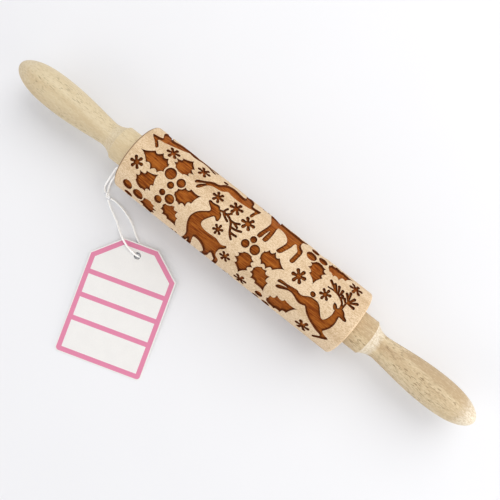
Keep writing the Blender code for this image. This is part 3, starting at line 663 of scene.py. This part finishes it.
def stroke(points, root_width, end_width):
    """The outline of a line with round ends, its width changing from root to end."""
    line = smooth_line(points, False, OUTLINE_STEPS if len(points) > 2 else 1)
    reached = reaches(line)
    left = []
    right = []
    for index, point in enumerate(line):
        along = (line[min(index + 1, len(line) - 1)] - line[max(index - 1, 0)]).normalized()
        across = Vector((-along.y, along.x))
        half = (root_width + (end_width - root_width) * reached[index] / reached[-1]) / 2
        left.append(tuple(point + across * half))
        right.append(tuple(point - across * half))
    cap = round_end(line[-1], line[-2], end_width)
    foot = round_end(line[0], line[1], root_width)
    return right[:-1] + cap + left[-2:0:-1] + foot


# Engraved motifs, as outlines (x, arc) on the barrel's unrolled surface
def placed(points, size, turn, mirrored, width_share=1.0):
    """The points sized, turned and mirrored about their own origin."""
    cosine = math.cos(math.radians(turn)) * size
    sine = math.sin(math.radians(turn)) * size
    side = -1 if mirrored else 1
    moved = []
    for along, across in points:
        across *= width_share
        moved.append((side * (along * cosine - across * sine), along * sine + across * cosine))
    return moved


def everywhere(front, upper):
    """Each place's x, arc and own values, and whether it is a mirrored copy at the back."""
    places = []
    for along, degrees, *values in front + upper:
        places.append((BARREL_HALF * along, MOTIF_RADIUS * math.radians(degrees), values, False))
    for along, degrees, *values in front:
        arc = MOTIF_RADIUS * math.radians(degrees + BACK_TURN_DEGREES)
        places.append((-BARREL_HALF * along, arc, values, True))
    return places


def moved_to(points, x, arc):
    return [(x + along, arc + across) for along, across in points]


def smooth_outline(shares, length, turn, mirrored):
    smooth = smooth_line(placed(shares, length, turn, mirrored), True, OUTLINE_STEPS)
    return [tuple(point) for point in smooth]


def leaping_deer(size, turn, mirrored):
    """Body and ear, then the antlers: long beams that narrow, short tines that widen, and the tail."""
    length = LEAPING_DEER_LENGTH * size
    outlines = [smooth_outline(shares, length, turn, mirrored)
                for shares in (LEAPING_DEER_SHARES, LEAPING_EAR_SHARES)]
    for shares in LEAPING_STROKE_SHARES:
        widths = (BEAM_WIDTH, TINE_ROOT_WIDTH) if len(shares) > 2 else (TINE_ROOT_WIDTH, TINE_END_WIDTH)
        line = placed(shares, length, turn, mirrored)
        outlines.append(stroke(line, widths[0] * size, widths[1] * size))
    tail = placed(LEAPING_TAIL_SHARES, length, turn, mirrored)
    outlines.append(stroke(tail, TAIL_WIDTH * size, TAIL_WIDTH * size))
    return outlines


def standing_deer(size, turn, mirrored):
    length = STANDING_DEER_LENGTH * size
    outlines = [smooth_outline(STANDING_DEER_SHARES, length, turn, mirrored)]
    for shares in STANDING_STROKE_SHARES:
        line = placed(shares, length, turn, mirrored)
        outlines.append(stroke(line, BEAM_WIDTH * size, BEAM_WIDTH * size))
    return outlines


def leaf_outline(size, turn, mirrored, width_share):
    """A holly leaf: sharp spines with hollow arcs between them."""
    upper = []
    spans = zip(LEAF_SPINE_SHARES, LEAF_SPINE_SHARES[1:], LEAF_HOLLOW_SHARES)
    for (x0, y0), (x1, y1), hollow in spans:
        middle = ((x0 + x1) / 2, (y0 + y1) / 2 - hollow)
        for step in range(LEAF_ARC_STEPS):
            t = step / LEAF_ARC_STEPS
            along = (1 - t) ** 2 * x0 + 2 * t * (1 - t) * middle[0] + t ** 2 * x1
            across = (1 - t) ** 2 * y0 + 2 * t * (1 - t) * middle[1] + t ** 2 * y1
            upper.append((along, max(across, 0.0)))
    upper.append(LEAF_SPINE_SHARES[-1])
    lower = [(along, -across) for along, across in reversed(upper[1:-1])]
    return placed(upper + lower, LEAF_LENGTH * size, turn, mirrored, width_share)


def star_outlines(size, turn, mirrored):
    """The star's centre, and its petals as strokes that widen outwards."""
    radius = STAR_DIAMETER / 2 * size
    outlines = [circle((0, 0), radius * STAR_CENTRE_SHARE, PETAL_COUNT * 2)]
    end_width = radius * PETAL_END_WIDTH_SHARE
    for index in range(PETAL_COUNT):
        angle = math.tau * index / PETAL_COUNT + math.radians(turn)
        direction = Vector((math.cos(angle), math.sin(angle)))
        if mirrored:
            direction.x = -direction.x
        line = [direction * radius * PETAL_ROOT_SHARE, direction * (radius - end_width / 2)]
        outlines.append(stroke(line, radius * PETAL_ROOT_WIDTH_SHARE, end_width))
    return outlines


def all_outlines():
    """Every outline with what it does: cut, cut as a leaf, or clear a leaf round a berry."""
    outlines = []
    for deer, front, upper in ((leaping_deer, FRONT_LEAPING_SHARES, UPPER_LEAPING_SHARES),
                               (standing_deer, FRONT_STANDING_SHARES, UPPER_STANDING_SHARES)):
        for x, arc, (size, turn, mirrored), flipped in everywhere(front, upper):
            for outline in deer(size, turn, mirrored != flipped):
                outlines.append(("cut", moved_to(outline, x, arc)))
    for x, arc, (size, turn, width), flipped in everywhere(FRONT_LEAF_SHARES, UPPER_LEAF_SHARES):
        outlines.append(("leaf", moved_to(leaf_outline(size, turn, flipped, width), x, arc)))
    for x, arc, (size,), _ in everywhere(FRONT_BERRY_SHARES, UPPER_BERRY_SHARES):
        radius = BERRY_DIAMETER / 2 * size
        outlines.append(("cut", circle((x, arc), radius, BERRY_SIDES)))
        outlines.append(("clear", circle((x, arc), radius + BERRY_CLEARANCE, BERRY_SIDES)))
    for x, arc, (size, turn), flipped in everywhere(FRONT_STAR_SHARES, UPPER_STAR_SHARES):
        for outline in star_outlines(size, turn, flipped):
            outlines.append(("cut", moved_to(outline, x, arc)))
    return outlines


# The barrel's unrolled sheet
def wrapped_copies(outlines, half_turn):
    """The outlines, all run the same way round, each again a full turn away over the sheet's edge."""
    copies = []
    for role, outline in outlines:
        points = np.array(outline)
        after = np.roll(points, -1, axis=0)
        if np.sum(points[:, 0] * after[:, 1] - points[:, 1] * after[:, 0]) < 0:
            points = points[::-1]
        for turns in (-1, 0, 1):
            moved = points + np.array((0.0, turns * 2 * half_turn))
            if moved[:, 1].max() > -half_turn and moved[:, 1].min() < half_turn:
                copies.append((role, moved))
    return copies


def inside(points, outline):
    """Which points a closed outline winds round."""
    winding = np.zeros(len(points), dtype=int)
    for start, end in zip(outline, np.roll(outline, -1, axis=0)):
        rise = end[1] - start[1]
        if rise == 0:
            continue
        crosses = (start[1] > points[:, 1]) != (end[1] > points[:, 1])
        where = (end[0] - start[0]) * (points[:, 1] - start[1]) / rise + start[0]
        winding += np.where(crosses & (points[:, 0] < where), 1 if rise > 0 else -1, 0)
    return winding != 0


def distance_to(points, outline):
    """Each point's distance to a closed outline."""
    nearest = np.full(len(points), np.inf)
    for start, end in zip(outline, np.roll(outline, -1, axis=0)):
        run = end - start
        square = max(float(run @ run), SHORTEST_CHORD ** 2)
        share = np.clip((points - start) @ run / square, 0.0, 1.0)
        gap = points - (start + share[:, None] * run)
        nearest = np.minimum(nearest, np.hypot(gap[:, 0], gap[:, 1]))
    return nearest


def in_reach(points, outline, margin):
    """The numbers of the points in an outline's box, grown by a margin."""
    low = outline.min(axis=0) - margin
    high = outline.max(axis=0) + margin
    return np.flatnonzero(np.all((points > low) & (points < high), axis=1))


def sheet_points(outlines, half_length, half_turn):
    """Points spread over the sheet, closer together inside the motifs, clear of outlines."""
    coarse_x = np.linspace(-half_length, half_length, round(2 * half_length / SHEET_STEP_X) + 1)
    coarse_arc = np.linspace(-half_turn, half_turn, SHEET_SIDES + 1)
    fine_x = np.arange(-half_length + INNER_STEP, half_length, INNER_STEP)
    fine_arc = np.arange(-half_turn + INNER_STEP, half_turn, INNER_STEP)
    kept = []
    for xs, arcs, wanted in ((coarse_x, coarse_arc, False), (fine_x, fine_arc, True)):
        grid = np.array([(x, arc) for x in xs for arc in arcs])
        within = np.zeros(len(grid), dtype=bool)
        close = np.zeros(len(grid), dtype=bool)
        for _, outline in outlines:
            near = in_reach(grid, outline, OUTLINE_CLEARANCE)
            if len(near):
                within[near] |= inside(grid[near], outline)
                close[near] |= distance_to(grid[near], outline) < OUTLINE_CLEARANCE
        edge = np.isclose(np.abs(grid[:, 1]), half_turn) & (not wanted)
        kept.append(grid[((within == wanted) & ~close) | edge])
    return np.vstack(kept)


def cut_sheet(half_length, half_turn):
    """The unrolled sheet as triangles, and which of them lie in the engraving."""
    outlines = wrapped_copies(all_outlines(), half_turn)
    border = np.array(rectangle(half_length, -half_turn, half_turn))
    points = []
    edges = []
    count = 0
    for ring in [border] + [outline for _, outline in outlines]:
        points.append(ring)
        edges += [(count + index, count + (index + 1) % len(ring)) for index in range(len(ring))]
        count += len(ring)
    points.append(sheet_points(outlines, half_length, half_turn))
    flat = [Vector(point) for point in np.vstack(points)]
    verts, _, triangles, _, _, _ = delaunay_2d_cdt(flat, edges, [], 0, OUTLINE_TOLERANCE, False)
    places = np.array([tuple(vert) for vert in verts])
    middles = places[np.array(triangles)].mean(axis=1)
    on_sheet = (np.abs(middles[:, 0]) < half_length) & (np.abs(middles[:, 1]) < half_turn)
    found = {role: np.zeros(len(middles), dtype=bool) for role in ("cut", "leaf", "clear")}
    for role, outline in outlines:
        near = in_reach(middles, outline, 0.0)
        found[role][near] |= inside(middles[near], outline)
    cut = found["cut"] | (found["leaf"] & ~found["clear"])
    kept = [triangle for triangle, shown in zip(triangles, on_sheet) if shown]
    return [tuple(place) for place in places], kept, cut[on_sheet].tolist()


def joined_seam(verts, half_turn):
    """For each vertex the one it stands for, the sheet's two long edges being one."""
    first = {}
    for index, (x, arc) in enumerate(verts):
        if abs(arc + half_turn) < SAME_PLACE:
            first[round(x * MICROMETRES_PER_METRE)] = index
    same = list(range(len(verts)))
    for index, (x, arc) in enumerate(verts):
        if abs(arc - half_turn) < SAME_PLACE:
            key = round(x * MICROMETRES_PER_METRE)
            for near in (key, key - 1, key + 1):
                if near in first:
                    same[index] = first[near]
                    break
    return same


def engraving_rims(verts, triangles, cut, half_turn):
    """The engraving's edges, and for each of their points the sum of the unit ways in."""
    plain_edges = set()
    engraved_edges = []
    for triangle, engraved in zip(triangles, cut):
        if engraved:
            engraved_edges += edges_of(triangle)
        else:
            plain_edges.update(edges_of(triangle))
    rims = [(start, end) for start, end in engraved_edges if (end, start) in plain_edges]
    ways_in = {}
    for start, end in rims:
        run = Vector(verts[end]) - Vector(verts[start])
        if abs(run.y) > half_turn:
            run.y -= math.copysign(2 * half_turn, run.y)
        way = Vector((-run.y, run.x)).normalized()
        for index in (start, end):
            ways_in[index] = ways_in.get(index, Vector((0, 0))) + way
    return rims, ways_in


def rim_finder(verts, rims, half_turn):
    """A search tree of each rim edge's start and middle, or its end where it crosses the seam."""
    tree = kdtree.KDTree(len(rims) * 2)
    for number, (start, end) in enumerate(rims):
        tree.insert((*verts[start], 0), number * 2)
        middle = (Vector(verts[start]) + Vector(verts[end])) / 2
        crosses = abs(verts[start][1] - verts[end][1]) >= half_turn
        tree.insert((*(verts[end] if crosses else middle), 0), number * 2 + 1)
    tree.balance()
    return tree


# Barrel
def round_axis(x, radius, angle):
    """The point at this radius from the pin's axis, the angle counted from the top."""
    return (x, radius * math.sin(angle), AXIS_HEIGHT + radius * math.cos(angle))


def end_profile():
    """(x, radius) over both ends: rounded edge, face and seats of a bush, the bore between them."""
    corner = (BARREL_HALF - BARREL_EDGE_RADIUS, BARREL_RADIUS - BARREL_EDGE_RADIUS)
    profile = arc_points(corner, BARREL_EDGE_RADIUS, math.pi / 2, 0, EDGE_STEPS)[1:]
    profile += [
        (BARREL_HALF, FLANGE_SEAT_RADIUS),
        (BARREL_HALF - FLANGE_SEAT_DEPTH, FLANGE_SEAT_RADIUS),
        (BARREL_HALF - FLANGE_SEAT_DEPTH, SLEEVE_SEAT_RADIUS),
        (BARREL_HALF - SLEEVE_SEAT_DEPTH, SLEEVE_SEAT_RADIUS),
        (BARREL_HALF - SLEEVE_SEAT_DEPTH, BARREL_BORE_RADIUS),
    ]
    return profile + [(-x, radius) for x, radius in reversed(profile)]


def make_barrel(plain, floor, wall):
    """The cut sheet rolled up, engraved triangles lower, with walls at the rims and its ends."""
    half_length = BARREL_HALF - BARREL_EDGE_RADIUS
    half_turn = math.pi * MOTIF_RADIUS
    verts, triangles, cut = cut_sheet(half_length, half_turn)
    same = joined_seam(verts, half_turn)
    triangles = [[same[index] for index in triangle] for triangle in triangles]
    rims, ways_in = engraving_rims(verts, triangles, cut, half_turn)
    finder = rim_finder(verts, rims, half_turn)
    places = []
    rim_distances = []
    tops = {}
    floors = {}

    def top(index):
        if index not in tops:
            tops[index] = len(places)
            x, arc = verts[index]
            places.append(round_axis(x, BARREL_RADIUS, arc / MOTIF_RADIUS))
            rim_distances.append(finder.find((x, arc, 0))[2])
        return tops[index]

    def bottom(index):
        if index not in floors:
            floors[index] = len(places)
            x, arc = verts[index]
            rim_distances.append(0.0 if index in ways_in else finder.find((x, arc, 0))[2])
            if index in ways_in and ways_in[index].length > LEAST_WAY_IN:
                way = ways_in[index].normalized() * WALL_SLOPE
                x += way.x
                arc += way.y
            places.append(round_axis(x, BARREL_RADIUS - ENGRAVING_DEPTH, arc / MOTIF_RADIUS))
        return floors[index]

    faces = []
    indices = []
    for triangle, engraved in zip(triangles, cut):
        level = bottom if engraved else top
        faces.append([level(index) for index in triangle])
        indices.append(1 if engraved else 0)
    for start, end in rims:
        faces.append([bottom(end), bottom(start), top(start), top(end)])
        indices.append(2)

    loops = {}
    for side in (-1, 1):
        found = [index for index in tops if abs(verts[index][0] - side * half_length) < SAME_PLACE]
        loops[side] = sorted(found, key=lambda index: verts[index][1])
    arcs = [verts[index][1] for index in loops[1]]
    rings = [[tops[index] for index in loops[1]]]
    for x, radius in end_profile():
        rings.append(list(range(len(places), len(places) + len(arcs))))
        places += [round_axis(x, radius, arc / MOTIF_RADIUS) for arc in arcs]
        rim_distances += [FAR_FROM_RIMS] * len(arcs)
    rings.append([tops[index] for index in loops[-1]])
    for outer, inner in zip(rings, rings[1:]):
        for index in range(len(arcs)):
            after = (index + 1) % len(arcs)
            faces.append([outer[index], inner[index], inner[after], outer[after]])
            indices.append(0)
    barrel = link_mesh("barrel_engraved", places, faces, [plain, floor, wall], indices)
    distances = barrel.data.attributes.new("rim_distance", "FLOAT", "POINT")
    distances.data.foreach_set("value", rim_distances)
    weld(barrel, WELD_DISTANCE)
    return barrel


# Handles
def handle_profile():
    """(distance from the barrel's end, radius) from the tip to the insert hole's floor."""
    collar_top = HANDLE_END_GAP + COLLAR_LENGTH
    cove_top = collar_top + COVE_LENGTH
    rise_top = cove_top + GRIP_RISE_LENGTH
    profile = []
    for step in range(TIP_STEPS):
        share = math.cos(math.pi / 2 * step / TIP_STEPS)
        radius = GRIP_RADIUS * math.sqrt(1 - share ** TIP_POWER)
        profile.append((rise_top + GRIP_TIP_LENGTH * share, radius))
    for step in range(RISE_STEPS, 0, -1):
        share = step / RISE_STEPS
        swell = (GRIP_RADIUS - NECK_RADIUS) * math.sin(math.pi / 2 * share) ** RISE_POWER
        profile.append((cove_top + GRIP_RISE_LENGTH * share, NECK_RADIUS + swell))
    for step in range(COVE_STEPS, 0, -1):
        share = step / COVE_STEPS
        flare = (COLLAR_RADIUS - COLLAR_EDGE_RADIUS - NECK_RADIUS) * (1 - share) ** COVE_POWER
        profile.append((collar_top + COVE_LENGTH * share, NECK_RADIUS + flare))
    inner = COLLAR_RADIUS - COLLAR_EDGE_RADIUS
    high = collar_top - COLLAR_EDGE_RADIUS
    low = HANDLE_END_GAP + COLLAR_EDGE_RADIUS
    profile += arc_points((high, inner), COLLAR_EDGE_RADIUS, 0, math.pi / 2, COLLAR_EDGE_STEPS)
    profile += arc_points((low, inner), COLLAR_EDGE_RADIUS, math.pi / 2, math.pi, COLLAR_EDGE_STEPS)
    hole_floor = HANDLE_END_GAP + INSERT_HOLE_DEPTH - COLLAR_EDGE_RADIUS
    profile += [(HANDLE_END_GAP, INSERT_HOLE_RADIUS), (hole_floor, INSERT_HOLE_RADIUS), (hole_floor, 0.0)]
    return profile


def make_handle(name, side, finish):
    """The profile turned about the pin's axis, its two ends closed on the axis."""
    verts = []
    rings = []
    slopes = []
    profile = handle_profile()
    for index, (reach, radius) in enumerate(profile):
        before = profile[max(index - 1, 0)]
        after = profile[min(index + 1, len(profile) - 1)]
        slope = abs(after[1] - before[1]) / math.dist(after, before)
        x = side * (BARREL_HALF + reach)
        if radius < SAME_PLACE:
            rings.append([len(verts)] * HANDLE_SIDES)
            verts.append((x, 0.0, AXIS_HEIGHT))
            slopes.append(slope)
            continue
        rings.append(list(range(len(verts), len(verts) + HANDLE_SIDES)))
        slopes += [slope] * HANDLE_SIDES
        for step in range(HANDLE_SIDES):
            angle = math.tau * step / HANDLE_SIDES
            verts.append(round_axis(x, radius, angle))
    faces = []
    for outer, inner in zip(rings, rings[1:]):
        for step in range(HANDLE_SIDES):
            after = (step + 1) % HANDLE_SIDES
            face = list(dict.fromkeys((outer[step], inner[step], inner[after], outer[after])))
            faces.append(face[::-1] if side > 0 else face)
    handle = link_mesh(name, verts, faces, [finish])
    handle.data.attributes.new("slope", "FLOAT", "POINT").data.foreach_set("value", slopes)
    return handle


# Cords
def smooth_route(route, spacing):
    """Evenly spaced points on a smooth curve through a route's points."""
    points = [Vector(point) for point in route]
    ends = [points[0]] + points + [points[-1]]
    curve = []
    for index in range(len(points) - 1):
        before, start, end, after = ends[index:index + 4]
        for step in range(CURVE_STEPS):
            t = step / CURVE_STEPS
            bend = (end - before) * t + (2 * before - 5 * start + 4 * end - after) * t ** 2
            curve.append(start + (bend + (3 * start - before - 3 * end + after) * t ** 3) / 2)
    curve.append(points[-1])
    reached = reaches(curve)
    count = round(reached[-1] / spacing)
    spaced = []
    index = 0
    for step in range(count + 1):
        wanted = reached[-1] * step / count
        while index < len(curve) - 2 and reached[index + 1] < wanted:
            index += 1
        share = (wanted - reached[index]) / (reached[index + 1] - reached[index])
        spaced.append(curve[index].lerp(curve[index + 1], share))
    return spaced


def collar_ring():
    """The cord's points round the left collar, the angle counted from its lowest place."""
    radius = COLLAR_RADIUS + CORD_DIAMETER / 2 + CORD_GAP
    x = -BARREL_HALF - RING_END_GAP - CORD_DIAMETER / 2
    points = []
    for step in range(RING_STEPS + 1):
        angle = RING_START + (RING_END - RING_START) * step / RING_STEPS
        points.append((x, radius * math.sin(angle), AXIS_HEIGHT - radius * math.cos(angle)))
    return points


def laid_tube(name, path, diameter, finish, closed=False):
    """A cord of twisted plies along a path: its lobed section turns as it goes."""
    count = len(path)
    tangents = []
    for index in range(count):
        ahead = path[(index + 1) % count if closed else min(index + 1, count - 1)]
        behind = path[index - 1 if closed else max(index - 1, 0)]
        tangents.append((ahead - behind).normalized())
    normal = tangents[0].orthogonal().normalized()
    verts = []
    for place, tangent, reached in zip(path, tangents, reaches(path)):
        normal = (normal - tangent * normal.dot(tangent)).normalized()
        other = tangent.cross(normal)
        twist = math.tau * reached / CORD_LAY_LENGTH
        for step in range(CORD_SIDES):
            angle = math.tau * step / CORD_SIDES
            lobe = abs(math.sin((angle + twist) * CORD_PLIES / 2))
            radius = diameter / 2 * (1 - PLY_DEPTH_SHARE * (1 - lobe) ** 2)
            verts.append(tuple(place + (normal * math.cos(angle) + other * math.sin(angle)) * radius))
    faces = []
    for index in range(count if closed else count - 1):
        ring = index * CORD_SIDES
        ahead = (index + 1) % count * CORD_SIDES
        for step in range(CORD_SIDES):
            after = (step + 1) % CORD_SIDES
            faces.append([ring + step, ring + after, ahead + after, ahead + step])
    if not closed:
        faces.append(list(range(CORD_SIDES))[::-1])
        faces.append(list(range((count - 1) * CORD_SIDES, count * CORD_SIDES)))
    return link_mesh(name, verts, faces, [finish], sharp=CORD_SHARP_ANGLE)


def make_knot(finish):
    """A closed trefoil of slightly thinner cord, like a pulled-tight knot, as big as the CAD's."""
    half = KNOT_CORD_DIAMETER / 2
    reach = Vector((KNOT_LENGTH / 2 - half, KNOT_WIDTH / 2 - half, KNOT_HEIGHT / 2 - half))
    turn = Matrix.Rotation(KNOT_TURN, 3, "Z")
    centre = Vector((KNOT_X, KNOT_Y, KNOT_FLOOR_GAP + KNOT_HEIGHT / 2))
    path = []
    for step in range(KNOT_STEPS):
        angle = math.tau * step / KNOT_STEPS
        local = Vector((
            (math.sin(angle) + 2 * math.sin(2 * angle)) / 3 * reach.x,
            (math.cos(angle) - 2 * math.cos(2 * angle)) / 3 * reach.y,
            -math.sin(3 * angle) * reach.z,
        ))
        path.append(centre + turn @ local)
    return laid_tube("knot_wound", path, KNOT_CORD_DIAMETER, finish, closed=True)


# Tag
def offset_outline(outline, inset):
    """A convex outline moved in by a distance, corner by corner."""
    points = [Vector(point) for point in outline]
    moved = []
    for index, point in enumerate(points):
        before = (point - points[index - 1]).normalized()
        after = (points[(index + 1) % len(points)] - point).normalized()
        way = Vector((-before.y - after.y, before.x + after.x)).normalized()
        across = Vector((-before.y, before.x))
        moved.append(point + way * inset / max(way.dot(across), MITRE_LIMIT))
    return moved


def tag_outline():
    """The card seen from above, its hole at the origin: clipped at the head, round at the foot."""
    half = TAG_WIDTH / 2
    inner = half - TAG_CORNER_RADIUS
    foot = TAG_CORNER_RADIUS - TAG_REACH
    shoulder = TAG_HEAD - TAG_CLIP_LENGTH
    outline = [(TAG_TOP_WIDTH / 2, TAG_HEAD), (-TAG_TOP_WIDTH / 2, TAG_HEAD), (-half, shoulder)]
    outline += arc_points((-inner, foot), TAG_CORNER_RADIUS, math.pi, math.pi * 3 / 2, TAG_CORNER_STEPS)
    outline += arc_points((inner, foot), TAG_CORNER_RADIUS, -math.pi / 2, 0, TAG_CORNER_STEPS)
    outline.append((half, shoulder))
    return outline


def tag_face():
    """The card's face as points and triangles, and for each triangle whether it is inked."""
    outline = tag_outline()
    rings = [("card", offset_outline(outline, TAG_EDGE)),
             ("hole", circle((0, 0), TAG_HOLE_DIAMETER / 2, TAG_HOLE_STEPS)),
             ("border", offset_outline(outline, TAG_BORDER_INSET)),
             ("inner", offset_outline(outline, TAG_BORDER_INSET + TAG_BORDER_WIDTH))]
    half = TAG_WIDTH / 2 - TAG_BORDER_INSET - TAG_BORDER_WIDTH / 2
    for reach in TAG_BAR_REACHES:
        bar = rectangle(half, reach - TAG_BAR_WIDTH / 2, reach + TAG_BAR_WIDTH / 2)
        rings.append(("bar", bar))
    points = []
    faces = []
    for _, ring in rings:
        faces.append(list(range(len(points), len(points) + len(ring))))
        points += [Vector(point) for point in ring]
    verts, _, triangles, _, _, sources = delaunay_2d_cdt(points, [], faces, 1, OUTLINE_TOLERANCE)
    shown = []
    inked = []
    for triangle, origins in zip(triangles, sources):
        found = {rings[origin][0] for origin in origins}
        if "card" in found and "hole" not in found:
            shown.append(list(triangle))
            inked.append("bar" in found or ("border" in found and "inner" not in found))
    return verts, shown, inked


def make_tag(card, ink):
    """The face above and below, a rounded edge between them, tilted from the cord to its foot."""
    verts, shown, inked = tag_face()
    count = len(verts)
    top = TAG_THICKNESS / 2
    places = [(vert.x, vert.y, level) for level in (top, -top) for vert in verts]
    solid = shown + [[index + count for index in reversed(triangle)] for triangle in shown]
    directed = {edge for triangle in shown for edge in edges_of(triangle)}
    rim = sorted((start, end) for start, end in directed if (end, start) not in directed)
    outward = {}
    for start, end in rim:
        run = (verts[end] - verts[start]).normalized()
        for index in (start, end):
            outward[index] = outward.get(index, Vector((0, 0))) + Vector((run.y, -run.x))
    bulge = {}
    for index in sorted(outward):
        way = outward[index].normalized() * TAG_EDGE
        bulge[index] = len(places)
        for level in (top - TAG_EDGE, TAG_EDGE - top):
            places.append((verts[index].x + way.x, verts[index].y + way.y, level))
    for start, end in rim:
        low, high = bulge[start], bulge[end]
        solid.append([end, start, low, high])
        solid.append([high, low, low + 1, high + 1])
        solid.append([high + 1, low + 1, start + count, end + count])
    indices = [1 if dark else 0 for dark in inked]
    indices += [0] * (len(solid) - len(indices))
    tilt = math.asin(TAG_LIFT / TAG_REACH)
    turn = Matrix.Rotation(TAG_TURN, 4, "Z") @ Matrix.Rotation(tilt, 4, "X")
    spot = Matrix.Translation((TAG_HOLE_X, TAG_HOLE_Y, TAG_LIFT + top * math.cos(tilt)))
    places = [tuple(spot @ turn @ Vector(place)) for place in places]
    return link_mesh("tag_card", places, solid, [card, ink], indices)


# Floor and lights
def make_floor(finish):
    corners = FLOOR_STEPS + 1
    levels = [FLOOR_HALF * (2 * step / FLOOR_STEPS - 1) for step in range(corners)]
    verts = [(x, y, 0.0) for y in levels for x in levels]
    faces = []
    for row in range(FLOOR_STEPS):
        for column in range(FLOOR_STEPS):
            corner = row * corners + column
            faces.append([corner, corner + 1, corner + corners + 1, corner + corners])
    floor = link_mesh("floor", verts, faces, [finish])


def area_light(name, place, target, size, power, colour):
    data = bpy.data.lights.new(name, "AREA")
    data.shape = "SQUARE"
    data.size = size
    data.energy = power
    data.color = colour
    light = bpy.data.objects.new(name, data)
    light.location = place
    light.rotation_euler = (Vector(target) - Vector(place)).to_track_quat("-Z", "Y").to_euler()
    bpy.context.scene.collection.objects.link(light)


def light_scene():
    world = bpy.data.worlds.new("studio")
    world.use_nodes = True
    background = world.node_tree.nodes["Background"]
    background.inputs["Color"].default_value = WORLD_COLOUR
    background.inputs["Strength"].default_value = WORLD_STRENGTH
    bpy.context.scene.world = world
    for light in STUDIO_LIGHTS:
        area_light(*light)
    bpy.context.scene.view_settings.view_transform = "Standard"


# Everything on the frame
make_camera()

cord_finish = satin_cord("white_satin_cord", (0.95, 0.94, 0.91), (0.86, 0.85, 0.82))
knot = make_knot(cord_finish)
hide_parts("string_knot")
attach(knot, "handles")

string_route = STRING_UP_ROUTE + collar_ring() + STRING_DOWN_ROUTE
string_path = smooth_route(string_route, CORD_STEP)
string = laid_tube("string_round_collar", string_path, CORD_DIAMETER, cord_finish)
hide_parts("handle_string")
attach(string, "handles")

tag_path = smooth_route(TAG_CORD_ROUTE, CORD_STEP)
tag_cord = laid_tube("string_to_tag", tag_path, CORD_DIAMETER, cord_finish)
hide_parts("tag_string")
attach(tag_cord, "handles")

card = paper("white_card", (0.76, 0.75, 0.72), (0.67, 0.66, 0.64), 0.42)
ink = paper("pink_ink", (0.66, 0.205, 0.33), (0.57, 0.175, 0.29), 0.40)
tag = make_tag(card, ink)
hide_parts("hang_tag")
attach(tag, "tag")

# The plain wood carries a painted shade line at the barrel's left end.
plain_wood = wood("pale_barrel_wood", (0.75, 0.585, 0.395), (0.665, 0.49, 0.30), (0.48, 0.32, 0.17),
                  fleck=(0.40, 0.24, 0.12), fleck_amount=0.35, fleck_edge=0.62,
                  mottle_scale=(900, 2000, 2000), mottle_share=0.70,
                  painted_shade_line=(PAINTED_SHADE_LINE_END_GAP - BARREL_HALF, (0.20, 0.11, 0.05)))
# The floor's rim colour is painted shade at the foot of the walls; the wall's rim colour is its own burnt
# colour.
burnt_floor = burnt("burnt_floor", (0.47, 0.150, 0.022), (0.28, 0.065, 0.007), (0.13, 0.022, 0.002),
                    rim_colour_and_shade=(0.060, 0.011, 0.002), rim_reach=0.0013)
burnt_wall = burnt("burnt_wall", (0.26, 0.080, 0.018), (0.18, 0.045, 0.009), (0.09, 0.018, 0.003),
                   rim_colour_and_shade=(0.150, 0.036, 0.007), rim_reach=0.0007)
barrel = make_barrel(plain_wood, burnt_floor, burnt_wall)
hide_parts("barrel")
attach(barrel, "barrel")

# The handles' end grain shares are partly a painted highlight on their coves and tips. It is stronger on
# the right handle, which faces the light at the right end.
left_wood = wood("left_handle_wood", (0.70, 0.60, 0.41), (0.63, 0.525, 0.335), (0.54, 0.42, 0.25),
                 fleck=(0.25, 0.19, 0.11), fleck_amount=0.60, fleck_edge=0.60,
                 mottle_scale=(420, 1300, 1300), mottle_share=0.30, side=(0.25, 4.0), end_grain_and_highlight=0.25)
right_wood = wood("right_handle_wood", (0.70, 0.585, 0.39), (0.585, 0.46, 0.28), (0.43, 0.305, 0.17),
                  fleck=(0.19, 0.12, 0.05), fleck_amount=0.75, fleck_edge=0.58,
                  mottle_scale=(420, 1300, 1300), mottle_share=0.30, side=(0.85, 16.0), end_grain_and_highlight=0.85)
for name, side, finish in (("handle_left", -1, left_wood), ("handle_right", 1, right_wood)):
    handle = make_handle(name + "_turned", side, finish)
    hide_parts(name)
    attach(handle, "handles")

steel = metal("drawn_steel", (0.56, 0.56, 0.57), (2500, 300, 300), 0.24)
brass = metal("turned_brass", (0.74, 0.56, 0.26), (2800, 400, 400), 0.28)
nylon = plastic("white_nylon", (0.84, 0.83, 0.79), 0.36)
for name, finish in (("axle_rod", steel), ("washer_left", steel), ("washer_right", steel),
                     ("insert_left", brass), ("insert_right", brass),
                     ("bush_left", nylon), ("bush_right", nylon)):
    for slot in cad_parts[name].material_slots:
        slot.material = finish

make_floor(matt_floor("white_table", (0.765, 0.77, 0.78)))
light_scene()
